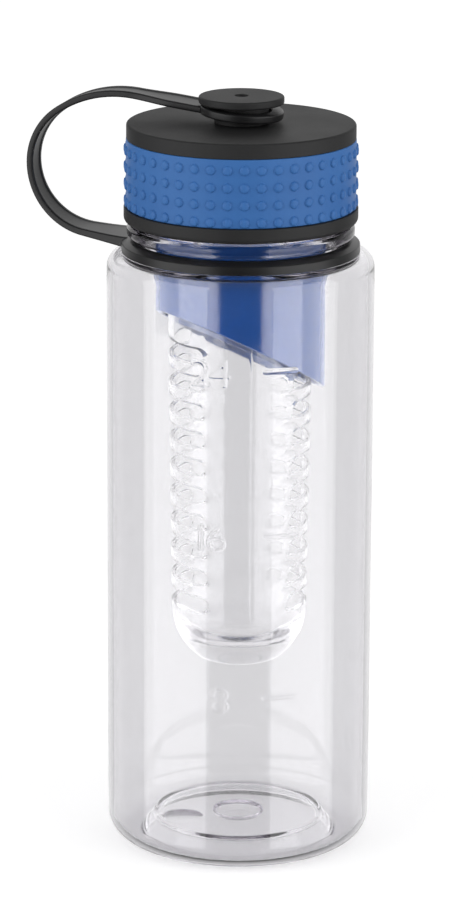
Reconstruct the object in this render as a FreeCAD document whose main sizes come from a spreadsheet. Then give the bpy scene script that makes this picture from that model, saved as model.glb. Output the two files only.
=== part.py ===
# Fruit infuser water bottle: clear bottle, screw lid on a tether, and an infuser that hangs from the lid.
# Millimetres. The origin is on the bottle's axis at the surface that it stands on, +Z is up,
# and the front is towards -Y. Each piece is one solid in its own node.
import FreeCAD
import Part
import Sketcher
import math
import os

doc = FreeCAD.newDocument("infuser_bottle")

# Driving dimensions. The body's radius and the shoulder's height place everything else:
# the rest are walls, steps, lengths and clearances.

SIZES = [
    # Bottle body
    ("body_radius", 40.0, "outside of the straight wall"),
    ("body_wall", 1.8, "wall of the body, shoulder and base"),
    ("shoulder_height", 183.0, "flat top of the shoulder"),
    ("shoulder_round", 4.6, "outside corner at the shoulder"),
    ("foot_round", 8.0, "outside corner at the foot"),
    ("foot_width", 5.6, "flat ring that the bottle stands on"),
    ("push_up_depth", 5.2, "height of the raised centre of the base"),
    ("push_up_slope", 1.4, "run of the step round the raised centre"),
    ("gate_radius", 6.6, "moulding boss at the centre of the base"),
    ("gate_depth", 1.0, "how far the boss stands down"),
    # Neck
    ("neck_step", 9.4, "from the body's outside to the root of the thread"),
    ("neck_wall", 2.0, "wall of the neck at the root of the thread"),
    ("neck_length", 23.9, "from the bead to the rim"),
    ("neck_blend", 1.5, "round where the bore opens into the body"),
    ("rim_round", 0.7, "round on the rim's edges"),
    ("groove_step", 1.0, "groove floor outside the root of the thread"),
    ("groove_height", 4.2, "height of the groove for the tether ring"),
    ("bead_reach", 3.4, "bead outside the root of the thread"),
    ("bead_crown", 0.4, "bulge of the bead"),
    ("bead_flank", 0.8, "height of each slanted flank of the bead"),
    ("bead_height", 4.5, "whole height of the bead"),
    # Lid
    ("thread_height", 1.0, "thread on the neck, from root to crest"),
    ("seat_clearance", 0.3, "gap between pieces that meet or slide"),
    ("lid_gap", 0.4, "gap between the bead and the lid's skirt"),
    ("lid_wall", 1.1, "wall of the lid behind the grip band"),
    ("lid_plate", 3.0, "thickness of the lid's top"),
    ("cap_reach", 1.1, "top disc outside the groove's floor"),
    ("cap_edge", 4.5, "height of the top disc's side"),
    ("cap_round", 0.7, "round on the top disc"),
    ("lip_reach", 1.9, "lip below the grip band, outside the groove's floor"),
    ("lip_height", 4.5, "height of that lip"),
    ("lip_round", 1.5, "round on the lip's lower edge"),
    ("band_thickness", 1.2, "grip band between its dots"),
    ("band_round", 0.4, "round on the grip band's edges"),
    ("band_clearance", 0.05, "fit of the grip band in its groove"),
    ("socket_wall", 1.6, "ring under the lid that holds the infuser"),
    ("socket_depth", 12.6, "depth of that ring"),
    ("socket_gap", 1.3, "gap between that ring and the neck"),
    ("seal_thickness", 2.7, "height of the lid's seal"),
    ("seal_width", 3.2, "width of the lid's seal"),
    ("seal_round", 0.5, "round on the seal's edges"),
    # Stud on the lid and the eye round it
    ("stud_neck", 8.1, "radius of the stud's neck"),
    ("stud_overlap", 3.7, "button head outside the eye's bore"),
    ("stud_head", 2.3, "thickness of the button head"),
    ("stud_round", 0.5, "round on the button's edges"),
    ("stud_hole", 2.0, "radius of the hole in the button"),
    ("stud_hole_depth", 5.0, "depth of that hole"),
    ("stem_radius", 5.0, "stem pressed into the lid"),
    ("stem_length", 8.6, "length of that stem"),
    ("stem_clearance", 0.05, "fit of the stem in the lid"),
    ("boss_wall", 2.4, "wall of the lid's boss round the stem"),
    ("eye_clearance", 0.9, "gap between the eye and the stud's neck"),
    ("eye_width", 3.5, "width of the eye's ring"),
    ("eye_thickness", 2.5, "thickness of the eye"),
    ("eye_round", 0.6, "round on the eye's edges"),
    ("eye_tilt", 6.0, "degrees that the strap lifts its side of the eye"),
    ("eye_play", 0.35, "gap between the tilted eye and the lid or button"),
    ("eye_tab", 3.7, "length of the eye's tab to the strap"),
    # Tether strap and ring
    ("strap_azimuth", 164.5, "degrees from +X to the strap's plane"),
    ("strap_width", 10.6, "width of the strap"),
    ("strap_web", 1.4, "thickness of the strap between its rims"),
    ("strap_rim", 2.0, "thickness of the strap's rims"),
    ("strap_rim_width", 1.9, "width of each rim"),
    ("loop_reach", 29.1, "outermost point of the strap's middle, from the ring's outside"),
    ("loop_lower", 20.0, "radius of the loop's lower bend"),
    ("root_slope", 14.6, "degrees that the strap rises from the ring"),
    ("root_length", 5.8, "length of the ring's tab to the strap"),
    ("root_flare", 17.0, "width of that tab at the ring"),
    ("ring_width", 3.7, "ring outside the groove's floor"),
    ("ring_slope", 1.4, "run of the ring's slanted top"),
    ("ring_side", 1.5, "height of the ring's side"),
    ("ring_round", 0.5, "round on the ring's lower edge"),
    # Infuser collar
    ("collar_wall", 1.7, "wall of the collar"),
    ("collar_length", 65.4, "from the collar's top to its slanted edge, on the axis"),
    ("flange_reach", 1.7, "stop flange under the socket, outside the collar"),
    ("flange_height", 2.0, "thickness of that flange"),
    ("edge_slant", 28.8, "degrees of slant of the collar's lower edge"),
    ("edge_azimuth", 33.0, "degrees from +X to the edge's low side"),
    ("spigot_wall", 1.5, "wall of the collar's inner spigot"),
    ("spigot_reach", 1.0, "how far the spigot shows below the edge"),
    ("shelf_height", 2.0, "web between the spigot and the collar"),
    # Infuser basket
    ("basket_insert", 10.0, "depth of the basket inside the collar"),
    ("basket_length", 79.3, "from the collar's edge, on the axis, to the start of the dome"),
    ("basket_wall", 1.5, "wall of the basket"),
    ("basket_taper", 1.4, "how much narrower the basket is at its dome"),
    ("rim_bead_reach", 1.5, "bead at the basket's rim, outside its wall"),
    ("rim_bead_height", 2.5, "height of that bead"),
    ("dome_edge", 8.3, "from the basket's outside to the flat at the dome's end"),
    ("floor_thickness", 7.3, "thickness of the basket's floor at the flat"),
    ("slot_height", 4.3, "height of each slot"),
    ("slot_angle", 106.0, "degrees of the tube that each slot spans"),
    ("slot_start", 3.9, "middle of the lowest row above the start of the dome"),
    ("slot_pitch", 8.57, "step between rows of slots"),
    ("slot_azimuth", 8.7, "degrees from +X to the middle of the low column"),
]

dims = doc.addObject("Spreadsheet::Sheet", "dims")
for row, (name, value, note) in enumerate(SIZES, start=1):
    dims.set("A%d" % row, str(value))
    dims.setAlias("A%d" % row, name)
    dims.set("B%d" % row, note)
doc.recompute()

# Sizes worked out from the driving ones, as expressions on the sheet: radii first, then heights

INNER_RADIUS = "(dims.body_radius - dims.body_wall)"
FOOT_RADIUS = "(dims.body_radius - dims.foot_round)"
PUSH_UP_RADIUS = f"({FOOT_RADIUS} - dims.foot_width - dims.push_up_slope)"
THREAD_ROOT = "(dims.body_radius - dims.neck_step)"
NECK_BORE = f"({THREAD_ROOT} - dims.neck_wall)"
GROOVE_RADIUS = f"({THREAD_ROOT} + dims.groove_step)"
BEAD_RADIUS = f"({THREAD_ROOT} + dims.bead_reach)"
LID_BORE = f"({THREAD_ROOT} + dims.thread_height + dims.seat_clearance)"
BAND_SEAT = f"({LID_BORE} + dims.lid_wall)"
BAND_RADIUS = f"({BAND_SEAT} + dims.band_thickness)"
CAP_RADIUS = f"({BAND_SEAT} + dims.cap_reach)"
LIP_RADIUS = f"({BAND_SEAT} + dims.lip_reach)"
SOCKET_OUTSIDE = f"({NECK_BORE} - dims.socket_gap)"
SOCKET_BORE = f"({SOCKET_OUTSIDE} - dims.socket_wall)"
COLLAR_RADIUS = f"({SOCKET_BORE} - dims.seat_clearance)"
COLLAR_BORE = f"({COLLAR_RADIUS} - dims.collar_wall)"
RIM_BEAD_RADIUS = f"({COLLAR_BORE} - dims.seat_clearance)"
BASKET_TOP_RADIUS = f"({RIM_BEAD_RADIUS} - dims.rim_bead_reach)"
BASKET_LOW_RADIUS = f"({BASKET_TOP_RADIUS} - dims.basket_taper)"
EYE_BORE = "(dims.stud_neck + dims.eye_clearance)"
EYE_RADIUS = f"({EYE_BORE} + dims.eye_width)"
EYE_REACH = f"({EYE_RADIUS} + dims.eye_tab)"
STUD_RADIUS = f"({EYE_BORE} + dims.stud_overlap)"
STEM_HOLE = "(dims.stem_radius + dims.stem_clearance)"
BOSS_RADIUS = "(dims.stem_radius + dims.boss_wall)"
RING_BORE = f"({GROOVE_RADIUS} + dims.seat_clearance)"
RING_RADIUS = f"({GROOVE_RADIUS} + dims.ring_width)"
RING_CROWN = f"({RING_RADIUS} - dims.ring_slope)"

INNER_SHOULDER = "(dims.shoulder_height - dims.body_wall)"
INNER_SHOULDER_ROUND = "(dims.shoulder_round - dims.body_wall)"
BEAD_BASE = "(dims.shoulder_height + dims.groove_height)"
BEAD_TOP = f"({BEAD_BASE} + dims.bead_height)"
BEAD_ARC = "(dims.bead_height - 2 * dims.bead_flank)"
BEAD_ROUND = f"(({BEAD_ARC} / 2) ^ 2 + dims.bead_crown ^ 2) / (2 * dims.bead_crown)"
RIM_HEIGHT = f"({BEAD_TOP} + dims.neck_length)"
SEAL_LOW = f"({RIM_HEIGHT} + dims.seat_clearance)"
CEILING = f"({SEAL_LOW} + dims.seal_thickness)"
LID_TOP = f"({CEILING} + dims.lid_plate)"
SKIRT_LOW = f"({BEAD_TOP} + dims.lid_gap)"
BAND_LOW = f"({SKIRT_LOW} + dims.lip_height)"
BAND_HIGH = f"({LID_TOP} - dims.cap_edge)"
SOCKET_LOW = f"({CEILING} - dims.socket_depth)"
STEM_LOW = f"({LID_TOP} - dims.stem_length)"
BOSS_LOW = f"({STEM_LOW} - dims.boss_wall)"
EYE_SWING = f"(2 * {EYE_RADIUS} * sin(dims.eye_tilt * 1 deg))"
STUD_LIFT = f"(dims.eye_thickness * cos(dims.eye_tilt * 1 deg) + {EYE_SWING} + 2 * dims.eye_play)"
HEAD_LOW = f"({LID_TOP} + {STUD_LIFT})"
HEAD_TOP = f"({HEAD_LOW} + dims.stud_head)"
RING_LOW = "dims.shoulder_height"
RING_TOP = f"({BEAD_BASE} - dims.seat_clearance)"
COLLAR_TOP = f"({CEILING} - dims.seat_clearance)"
EDGE_HEIGHT = f"({COLLAR_TOP} - dims.collar_length)"
DOME_HEIGHT = f"({EDGE_HEIGHT} - dims.basket_length)"


def size(expression):
    """Value of an expression on the sheet, as a plain number."""
    return float(dims.evalExpression(expression))


def origin_feature(body, role):
    """One of a body's own origin planes or axes."""
    for feature in body.Origin.OriginFeatures:
        if feature.Role == role:
            return feature
    raise ValueError("no origin feature " + role)


def new_body(label):
    """Empty body whose label is the node's name."""
    body = doc.addObject("PartDesign::Body", label)
    body.Label = label
    return body


def new_sketch(body, name, role):
    """Sketch on one of the body's origin planes."""
    sketch = body.newObject("Sketcher::SketchObject", name)
    sketch.AttachmentSupport = [(origin_feature(body, role), "")]
    sketch.MapMode = "FlatFace"
    return sketch


def bind(sketch, kind, places, expression):
    """Add a dimension to a sketch and tie it to an expression."""
    index = sketch.addConstraint(Sketcher.Constraint(kind, *places, size(expression)))
    sketch.setExpression("Constraints[%d]" % index, expression)


def pin_point(sketch, geometry, end, across, up):
    """Tie one end of a sketch line or arc to two expressions from the origin."""
    for kind, axis, expression in (("DistanceX", -2, across), ("DistanceY", -1, up)):
        if expression == "0":
            sketch.addConstraint(Sketcher.Constraint("PointOnObject", geometry, end, axis))
        else:
            bind(sketch, kind, (geometry, end), expression)


def arc_between(start, end, radius, left):
    """Arc from start to end that turns left (or right), at most half a circle."""
    middle = (start + end) * 0.5
    half = end - middle
    side = FreeCAD.Vector(-half.y, half.x, 0)
    side.normalize()
    reach = math.sqrt(max(radius ** 2 - half.Length ** 2, 0.0))
    centre = middle + side * (reach if left else -reach)
    first = math.atan2(start.y - centre.y, start.x - centre.x)
    last = math.atan2(end.y - centre.y, end.x - centre.x)
    circle = Part.Circle(centre, FreeCAD.Vector(0, 0, 1), radius)
    return Part.ArcOfCircle(circle, first, last) if left else Part.ArcOfCircle(circle, last, first)


def draw_outline(sketch, corners):
    """Closed outline. Each corner is (across, up) or (across, up, radius, turn): the last two make
    the stretch to the next corner an arc that turns left or right."""
    points = [FreeCAD.Vector(size(corner[0]), size(corner[1]), 0) for corner in corners]
    ends = []
    for index, corner in enumerate(corners):
        start = points[index]
        end = points[(index + 1) % len(points)]
        if len(corner) == 2:
            geometry = sketch.addGeometry(Part.LineSegment(start, end), False)
            ends.append((geometry, 1, 2))
            continue
        left = corner[3] == "left"
        geometry = sketch.addGeometry(arc_between(start, end, size(corner[2]), left), False)
        ends.append((geometry, 1, 2) if left else (geometry, 2, 1))
    for index, corner in enumerate(corners):
        last = ends[index - 1]
        this = ends[index]
        sketch.addConstraint(Sketcher.Constraint("Coincident", last[0], last[2], this[0], this[1]))
        pin_point(sketch, this[0], this[1], corner[0], corner[1])
    for index, corner in enumerate(corners):
        if len(corner) == 4:
            bind(sketch, "Radius", (ends[index][0],), corner[2])


def revolve(body, name, corners):
    """Turned solid: an outline in the body's XZ plane taken once round Z."""
    sketch = new_sketch(body, name + "_outline", "XZ_Plane")
    draw_outline(sketch, corners)
    turned = body.newObject("PartDesign::Revolution", name)
    turned.Profile = sketch
    turned.ReferenceAxis = (sketch, ["V_Axis"])
    turned.Angle = 360.0
    return turned


# Bottle body: one turned shell from the push-up base to the rim

bottle_body = new_body("bottle_body")
GATE_LOW = "dims.push_up_depth - dims.gate_depth"
FLOOR = "dims.push_up_depth + dims.body_wall"
revolve(bottle_body, "bottle_shell", [
    ("0", GATE_LOW),
    ("dims.gate_radius", GATE_LOW),
    ("dims.gate_radius + dims.gate_depth", "dims.push_up_depth"),
    (PUSH_UP_RADIUS, "dims.push_up_depth"),
    (PUSH_UP_RADIUS + " + dims.push_up_slope", "0"),
    (FOOT_RADIUS, "0", "dims.foot_round", "left"),
    ("dims.body_radius", "dims.foot_round"),
    ("dims.body_radius", "dims.shoulder_height - dims.shoulder_round", "dims.shoulder_round", "left"),
    ("dims.body_radius - dims.shoulder_round", "dims.shoulder_height"),
    (GROOVE_RADIUS, "dims.shoulder_height"),
    (GROOVE_RADIUS, BEAD_BASE),
    (BEAD_RADIUS + " - dims.bead_crown", BEAD_BASE + " + dims.bead_flank", BEAD_ROUND, "left"),
    (BEAD_RADIUS + " - dims.bead_crown", BEAD_TOP + " - dims.bead_flank"),
    (THREAD_ROOT, BEAD_TOP),
    (THREAD_ROOT, RIM_HEIGHT + " - dims.rim_round", "dims.rim_round", "left"),
    (THREAD_ROOT + " - dims.rim_round", RIM_HEIGHT),
    (NECK_BORE + " + dims.rim_round", RIM_HEIGHT, "dims.rim_round", "left"),
    (NECK_BORE, RIM_HEIGHT + " - dims.rim_round"),
    (NECK_BORE, INNER_SHOULDER + " + dims.neck_blend", "dims.neck_blend", "left"),
    (NECK_BORE + " + dims.neck_blend", INNER_SHOULDER),
    ("dims.body_radius - dims.shoulder_round", INNER_SHOULDER, INNER_SHOULDER_ROUND, "right"),
    (INNER_RADIUS, INNER_SHOULDER + " - " + INNER_SHOULDER_ROUND),
    (INNER_RADIUS, "dims.foot_round", "dims.foot_round - dims.body_wall", "right"),
    (FOOT_RADIUS, "dims.body_wall"),
    (PUSH_UP_RADIUS + " + dims.push_up_slope + dims.body_wall", "dims.body_wall"),
    (PUSH_UP_RADIUS + " + dims.body_wall", FLOOR),
    ("0", FLOOR),
])

# Lid: a cup with a groove for the grip band, a socket ring for the infuser and a boss for the stud

lid_shell = new_body("lid_shell")
revolve(lid_shell, "lid_cup", [
    ("0", BOSS_LOW),
    (BOSS_RADIUS, BOSS_LOW),
    (BOSS_RADIUS, CEILING),
    (SOCKET_BORE, CEILING),
    (SOCKET_BORE, SOCKET_LOW),
    (SOCKET_OUTSIDE, SOCKET_LOW),
    (SOCKET_OUTSIDE, CEILING),
    (LID_BORE, CEILING),
    (LID_BORE, SKIRT_LOW),
    (LIP_RADIUS + " - dims.lip_round", SKIRT_LOW, "dims.lip_round", "left"),
    (LIP_RADIUS, SKIRT_LOW + " + dims.lip_round"),
    (LIP_RADIUS, BAND_LOW),
    (BAND_SEAT, BAND_LOW),
    (BAND_SEAT, BAND_HIGH),
    (CAP_RADIUS, BAND_HIGH),
    (CAP_RADIUS, LID_TOP + " - dims.cap_round", "dims.cap_round", "left"),
    (CAP_RADIUS + " - dims.cap_round", LID_TOP),
    (STEM_HOLE, LID_TOP),
    (STEM_HOLE, STEM_LOW),
    ("0", STEM_LOW),
])

# Grip band: a rubber sleeve in the lid's groove

lid_grip_band = new_body("lid_grip_band")
BAND_INSIDE = BAND_SEAT + " + dims.band_clearance"
BAND_BOTTOM = BAND_LOW + " + dims.band_clearance"
BAND_TOP = BAND_HIGH + " - dims.band_clearance"
revolve(lid_grip_band, "band_sleeve", [
    (BAND_INSIDE, BAND_BOTTOM),
    (BAND_RADIUS + " - dims.band_round", BAND_BOTTOM, "dims.band_round", "left"),
    (BAND_RADIUS, BAND_BOTTOM + " + dims.band_round"),
    (BAND_RADIUS, BAND_TOP + " - dims.band_round", "dims.band_round", "left"),
    (BAND_RADIUS + " - dims.band_round", BAND_TOP),
    (BAND_INSIDE, BAND_TOP),
])

# Seal: a soft ring against the lid's ceiling, just above the rim

lid_seal = new_body("lid_seal")
SEAL_OUTSIDE = LID_BORE + " - dims.seat_clearance"
SEAL_INSIDE = SEAL_OUTSIDE + " - dims.seal_width"
revolve(lid_seal, "seal_ring", [
    (SEAL_INSIDE + " + dims.seal_round", SEAL_LOW),
    (SEAL_OUTSIDE + " - dims.seal_round", SEAL_LOW, "dims.seal_round", "left"),
    (SEAL_OUTSIDE, SEAL_LOW + " + dims.seal_round"),
    (SEAL_OUTSIDE, CEILING),
    (SEAL_INSIDE, CEILING),
    (SEAL_INSIDE, SEAL_LOW + " + dims.seal_round", "dims.seal_round", "left"),
])

# Stud: a button on a neck, with a stem in the lid's boss

tether_stud = new_body("tether_stud")
revolve(tether_stud, "stud_button", [
    ("0", STEM_LOW),
    ("dims.stem_radius", STEM_LOW),
    ("dims.stem_radius", LID_TOP),
    ("dims.stud_neck", LID_TOP),
    ("dims.stud_neck", HEAD_LOW),
    (STUD_RADIUS + " - dims.stud_round", HEAD_LOW, "dims.stud_round", "left"),
    (STUD_RADIUS, HEAD_LOW + " + dims.stud_round"),
    (STUD_RADIUS, HEAD_TOP + " - dims.stud_round", "dims.stud_round", "left"),
    (STUD_RADIUS + " - dims.stud_round", HEAD_TOP),
    ("dims.stud_hole", HEAD_TOP),
    ("dims.stud_hole", HEAD_TOP + " - dims.stud_hole_depth"),
    ("0", HEAD_TOP + " - dims.stud_hole_depth"),
])

# Eye of the tether: a flat ring with a tab, tilted up on the strap's side.
# Its own frame has the strap along +X and the eye's underside at zero.

tether_eyelet = new_body("tether_eyelet")
revolve(tether_eyelet, "eye_ring", [
    (EYE_BORE, "0"),
    (EYE_RADIUS + " - dims.eye_round", "0", "dims.eye_round", "left"),
    (EYE_RADIUS, "dims.eye_round"),
    (EYE_RADIUS, "dims.eye_thickness - dims.eye_round", "dims.eye_round", "left"),
    (EYE_RADIUS + " - dims.eye_round", "dims.eye_thickness"),
    (EYE_BORE, "dims.eye_thickness"),
])
TAB_INNER = EYE_RADIUS + " - dims.eye_width / 2"
TAB_LOW = "(dims.eye_thickness - dims.strap_rim) / 2"
TAB_HIGH = "(dims.eye_thickness + dims.strap_rim) / 2"
eye_tab_outline = new_sketch(tether_eyelet, "eye_tab_outline", "XZ_Plane")
draw_outline(eye_tab_outline, [
    (TAB_INNER, TAB_LOW),
    (EYE_REACH, TAB_LOW),
    (EYE_REACH, TAB_HIGH),
    (TAB_INNER, TAB_HIGH),
])
eye_tab = tether_eyelet.newObject("PartDesign::Pad", "eye_tab")
eye_tab.Profile = eye_tab_outline
eye_tab.SideType = "Symmetric"
eye_tab.setExpression("Length", "dims.strap_width")

loop_turn = FreeCAD.Rotation(FreeCAD.Vector(0, 0, 1), size("dims.strap_azimuth"))
eye_turn = loop_turn * FreeCAD.Rotation(FreeCAD.Vector(0, 1, 0), -size("dims.eye_tilt"))
eye_middle = FreeCAD.Vector(0, 0, size(LID_TOP + " + " + STUD_LIFT + " / 2"))
eye_drop = eye_turn.multVec(FreeCAD.Vector(0, 0, size("dims.eye_thickness / 2")))
tether_eyelet.Placement = FreeCAD.Placement(eye_middle - eye_drop, eye_turn)


def place_section(sketch, across, up, slope, width, height):
    """Stand a sketch on the YZ plane square to a line that rises at a slope, with its lower corner at
    the origin of the sketch and its middle at a point of the XZ plane."""
    tilt = FreeCAD.Rotation(FreeCAD.Vector(1, 0, 0), -slope)
    corner = tilt.multVec(FreeCAD.Vector(-width / 2, -height / 2, 0))
    sketch.AttachmentOffset = FreeCAD.Placement(FreeCAD.Vector(0, up, across) + corner, tilt)


def draw_box(sketch, width, height):
    """Rectangle from the sketch's origin."""
    draw_outline(sketch, [("0", "0"), (width, "0"), (width, height), ("0", height)])


# Tether ring: turns in the neck's groove on the flat of the shoulder, with a flared tab to the strap

tether_ring = new_body("tether_ring")
revolve(tether_ring, "neck_ring", [
    (RING_BORE, RING_LOW),
    (RING_RADIUS + " - dims.ring_round", RING_LOW, "dims.ring_round", "left"),
    (RING_RADIUS, RING_LOW + " + dims.ring_round"),
    (RING_RADIUS, RING_LOW + " + dims.ring_side"),
    (RING_CROWN, RING_TOP),
    (RING_BORE, RING_TOP),
])
ROOT_RISE = "(dims.root_length * sin(dims.root_slope * 1 deg))"
ROOT_ACROSS = f"({RING_RADIUS} + dims.root_length * cos(dims.root_slope * 1 deg))"
ROOT_UP = f"({RING_LOW} + dims.strap_rim / 2 + {ROOT_RISE})"
ROOT_BASE_HEIGHT = "(dims.groove_height / 2)"
root_base = new_sketch(tether_ring, "root_base", "YZ_Plane")
draw_box(root_base, "dims.root_flare", ROOT_BASE_HEIGHT)
place_section(
    root_base,
    size(f"({RING_BORE} + {RING_RADIUS}) / 2"),
    size(RING_LOW + " + dims.ring_round + " + ROOT_BASE_HEIGHT + " / 2"),
    0.0,
    size("dims.root_flare"),
    size(ROOT_BASE_HEIGHT),
)
root_end = new_sketch(tether_ring, "root_end", "YZ_Plane")
draw_box(root_end, "dims.strap_width", "dims.strap_rim")
place_section(
    root_end,
    size(ROOT_ACROSS),
    size(ROOT_UP),
    size("dims.root_slope"),
    size("dims.strap_width"),
    size("dims.strap_rim"),
)
root_tab = tether_ring.newObject("PartDesign::AdditiveLoft", "root_tab")
root_tab.Profile = root_base
root_tab.Sections = [root_end]
root_tab.Ruled = True
tether_ring.Placement = FreeCAD.Placement(FreeCAD.Vector(0, 0, 0), loop_turn)

# Tether strap: a flat band with a rim along each edge. From the eye it runs straight up the eye's slope,
# bends down, bends back under itself and runs straight into the ring's tab.

eye_slope = math.radians(size("dims.eye_tilt"))
root_slope = math.radians(size("dims.root_slope"))
eye_way = FreeCAD.Vector(math.cos(eye_slope), math.sin(eye_slope), 0)
root_way = FreeCAD.Vector(math.cos(root_slope), math.sin(root_slope), 0)
start = FreeCAD.Vector(0, eye_middle.z, 0) + eye_way * size(EYE_REACH)
finish = FreeCAD.Vector(size(ROOT_ACROSS), size(ROOT_UP), 0)
reach = size(RING_RADIUS + " + dims.loop_reach")
lower = size("dims.loop_lower")
root_run = (reach - finish.x - lower * (1 - root_way.y)) / root_way.x
lower_bend = finish + root_way * root_run
outermost = FreeCAD.Vector(reach, lower_bend.y + lower * root_way.x, 0)
drop = start.y - outermost.y
span = outermost.x - start.x
eye_rise = eye_way.y / eye_way.x
upper = (drop + span * eye_rise) / (eye_way.x + eye_rise * (1 + eye_way.y))
eye_run = (span - upper * (1 + eye_way.y)) / eye_way.x
upper_bend = start + eye_way * eye_run

tether_strap = new_body("tether_strap")
strap_path = new_sketch(tether_strap, "strap_path", "XZ_Plane")
strap_path.addGeometry(Part.LineSegment(start, upper_bend), False)
strap_path.addGeometry(arc_between(upper_bend, outermost, upper, False), False)
strap_path.addGeometry(arc_between(outermost, lower_bend, lower, False), False)
strap_path.addGeometry(Part.LineSegment(finish, lower_bend), False)
for joint in ((0, 2, 1, 2), (1, 1, 2, 2), (2, 1, 3, 2)):
    strap_path.addConstraint(Sketcher.Constraint("Tangent", *joint))
pin_point(
    strap_path,
    0,
    1,
    f"{EYE_REACH} * cos(dims.eye_tilt * 1 deg)",
    f"{LID_TOP} + {STUD_LIFT} / 2 + {EYE_REACH} * sin(dims.eye_tilt * 1 deg)",
)
pin_point(strap_path, 3, 1, ROOT_ACROSS, ROOT_UP)
bind(strap_path, "Radius", (2,), "dims.loop_lower")
bind(strap_path, "DistanceX", (1, 1), RING_RADIUS + " + dims.loop_reach")
strap_path.addConstraint(Sketcher.Constraint("Horizontal", 2, 3, 1, 1))
for line, slope in ((0, "dims.eye_tilt"), (3, "dims.root_slope")):
    index = strap_path.addConstraint(Sketcher.Constraint("Angle", line, math.radians(size(slope))))
    strap_path.setExpression("Constraints[%d]" % index, slope + " * 1 deg")

GROOVE_DEPTH = "(dims.strap_rim - dims.strap_web) / 2"
GROOVE_TOP = "(dims.strap_rim + dims.strap_web) / 2"
FAR_RIM = "dims.strap_width - dims.strap_rim_width"
strap_section = new_sketch(tether_strap, "strap_section", "YZ_Plane")
draw_outline(strap_section, [
    ("0", "0"),
    ("dims.strap_rim_width", "0"),
    ("dims.strap_rim_width", GROOVE_DEPTH),
    (FAR_RIM, GROOVE_DEPTH),
    (FAR_RIM, "0"),
    ("dims.strap_width", "0"),
    ("dims.strap_width", "dims.strap_rim"),
    (FAR_RIM, "dims.strap_rim"),
    (FAR_RIM, GROOVE_TOP),
    ("dims.strap_rim_width", GROOVE_TOP),
    ("dims.strap_rim_width", "dims.strap_rim"),
    ("0", "dims.strap_rim"),
])
place_section(
    strap_section,
    start.x,
    start.y,
    size("dims.eye_tilt"),
    size("dims.strap_width"),
    size("dims.strap_rim"),
)
strap_band = tether_strap.newObject("PartDesign::AdditivePipe", "strap_band")
strap_band.Profile = strap_section
strap_band.Spine = (strap_path, [])
strap_band.Transition = "Transformed"
tether_strap.Placement = FreeCAD.Placement(FreeCAD.Vector(0, 0, 0), loop_turn)

# Infuser: the collar's edge and the basket's rim are slanted alike. A slab is the space between two
# planes with that slant, given by their heights above the collar's edge on the axis.

SLANT_DROP = "tan(dims.edge_slant * 1 deg)"
slant_turn = FreeCAD.Rotation(FreeCAD.Vector(0, 0, 1), size("dims.edge_azimuth"))
slant_turn = slant_turn * FreeCAD.Rotation(FreeCAD.Vector(0, 1, 0), size("dims.edge_slant"))
SLAB_SIDE = f"(6 * {COLLAR_RADIUS})"


def slab(name, low, high):
    """Slanted slab between two heights above the collar's edge."""
    block = doc.addObject("Part::Box", name)
    block.setExpression("Length", SLAB_SIDE)
    block.setExpression("Width", SLAB_SIDE)
    block.setExpression("Height", f"(({high}) - ({low})) * cos(dims.edge_slant * 1 deg)")
    corner = FreeCAD.Vector(-size(SLAB_SIDE) / 2, -size(SLAB_SIDE) / 2, 0)
    base = FreeCAD.Vector(0, 0, size(f"{EDGE_HEIGHT} + {low}")) + slant_turn.multVec(corner)
    block.Placement = FreeCAD.Placement(base, slant_turn)
    return block


def tube(name, outside, inside, low, high):
    """Upright tube about the bottle's axis."""
    solids = []
    for part_name, radius in ((name + "_outside", outside), (name + "_inside", inside)):
        solid = doc.addObject("Part::Cylinder", part_name)
        solid.setExpression("Radius", radius)
        solid.setExpression("Height", f"({high}) - ({low})")
        solid.setExpression("Placement.Base.z", low)
        solids.append(solid)
    return combine("Part::Cut", name, solids[0], solids[1])


def combine(kind, name, base, tool):
    """Boolean of two shapes."""
    result = doc.addObject(kind, name)
    result.Base = base
    result.Tool = tool
    return result


BELOW = f"(0 - 2 * {COLLAR_RADIUS})"
ABOVE = f"(2 * {COLLAR_RADIUS})"
BLANK_LOW = f"({EDGE_HEIGHT} + {BELOW})"
BLANK_HIGH = f"({EDGE_HEIGHT} + {ABOVE})"
SHELF_LOW = "(dims.basket_insert + dims.seat_clearance)"
SHELF_HIGH = f"({SHELF_LOW} + dims.shelf_height)"
BASKET_HIGH = f"({EDGE_HEIGHT} + dims.basket_insert + {COLLAR_RADIUS} * {SLANT_DROP})"
SPIGOT_LOW = f"({EDGE_HEIGHT} - dims.spigot_reach - {BASKET_TOP_RADIUS} * {SLANT_DROP})"
SPIGOT_SHARE = f"(({SPIGOT_LOW} - {DOME_HEIGHT}) / ({BASKET_HIGH} - {DOME_HEIGHT}))"
SPIGOT_FIT = f"({BASKET_LOW_RADIUS} + dims.basket_taper * {SPIGOT_SHARE} - dims.basket_wall)"
SPIGOT_RADIUS = f"({SPIGOT_FIT} - dims.seat_clearance)"
SPIGOT_BORE = f"({SPIGOT_RADIUS} - dims.spigot_wall)"

# Collar: a tube with a slanted edge, a stop flange under the lid's socket, and a spigot inside it
# that the basket is pushed onto

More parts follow.
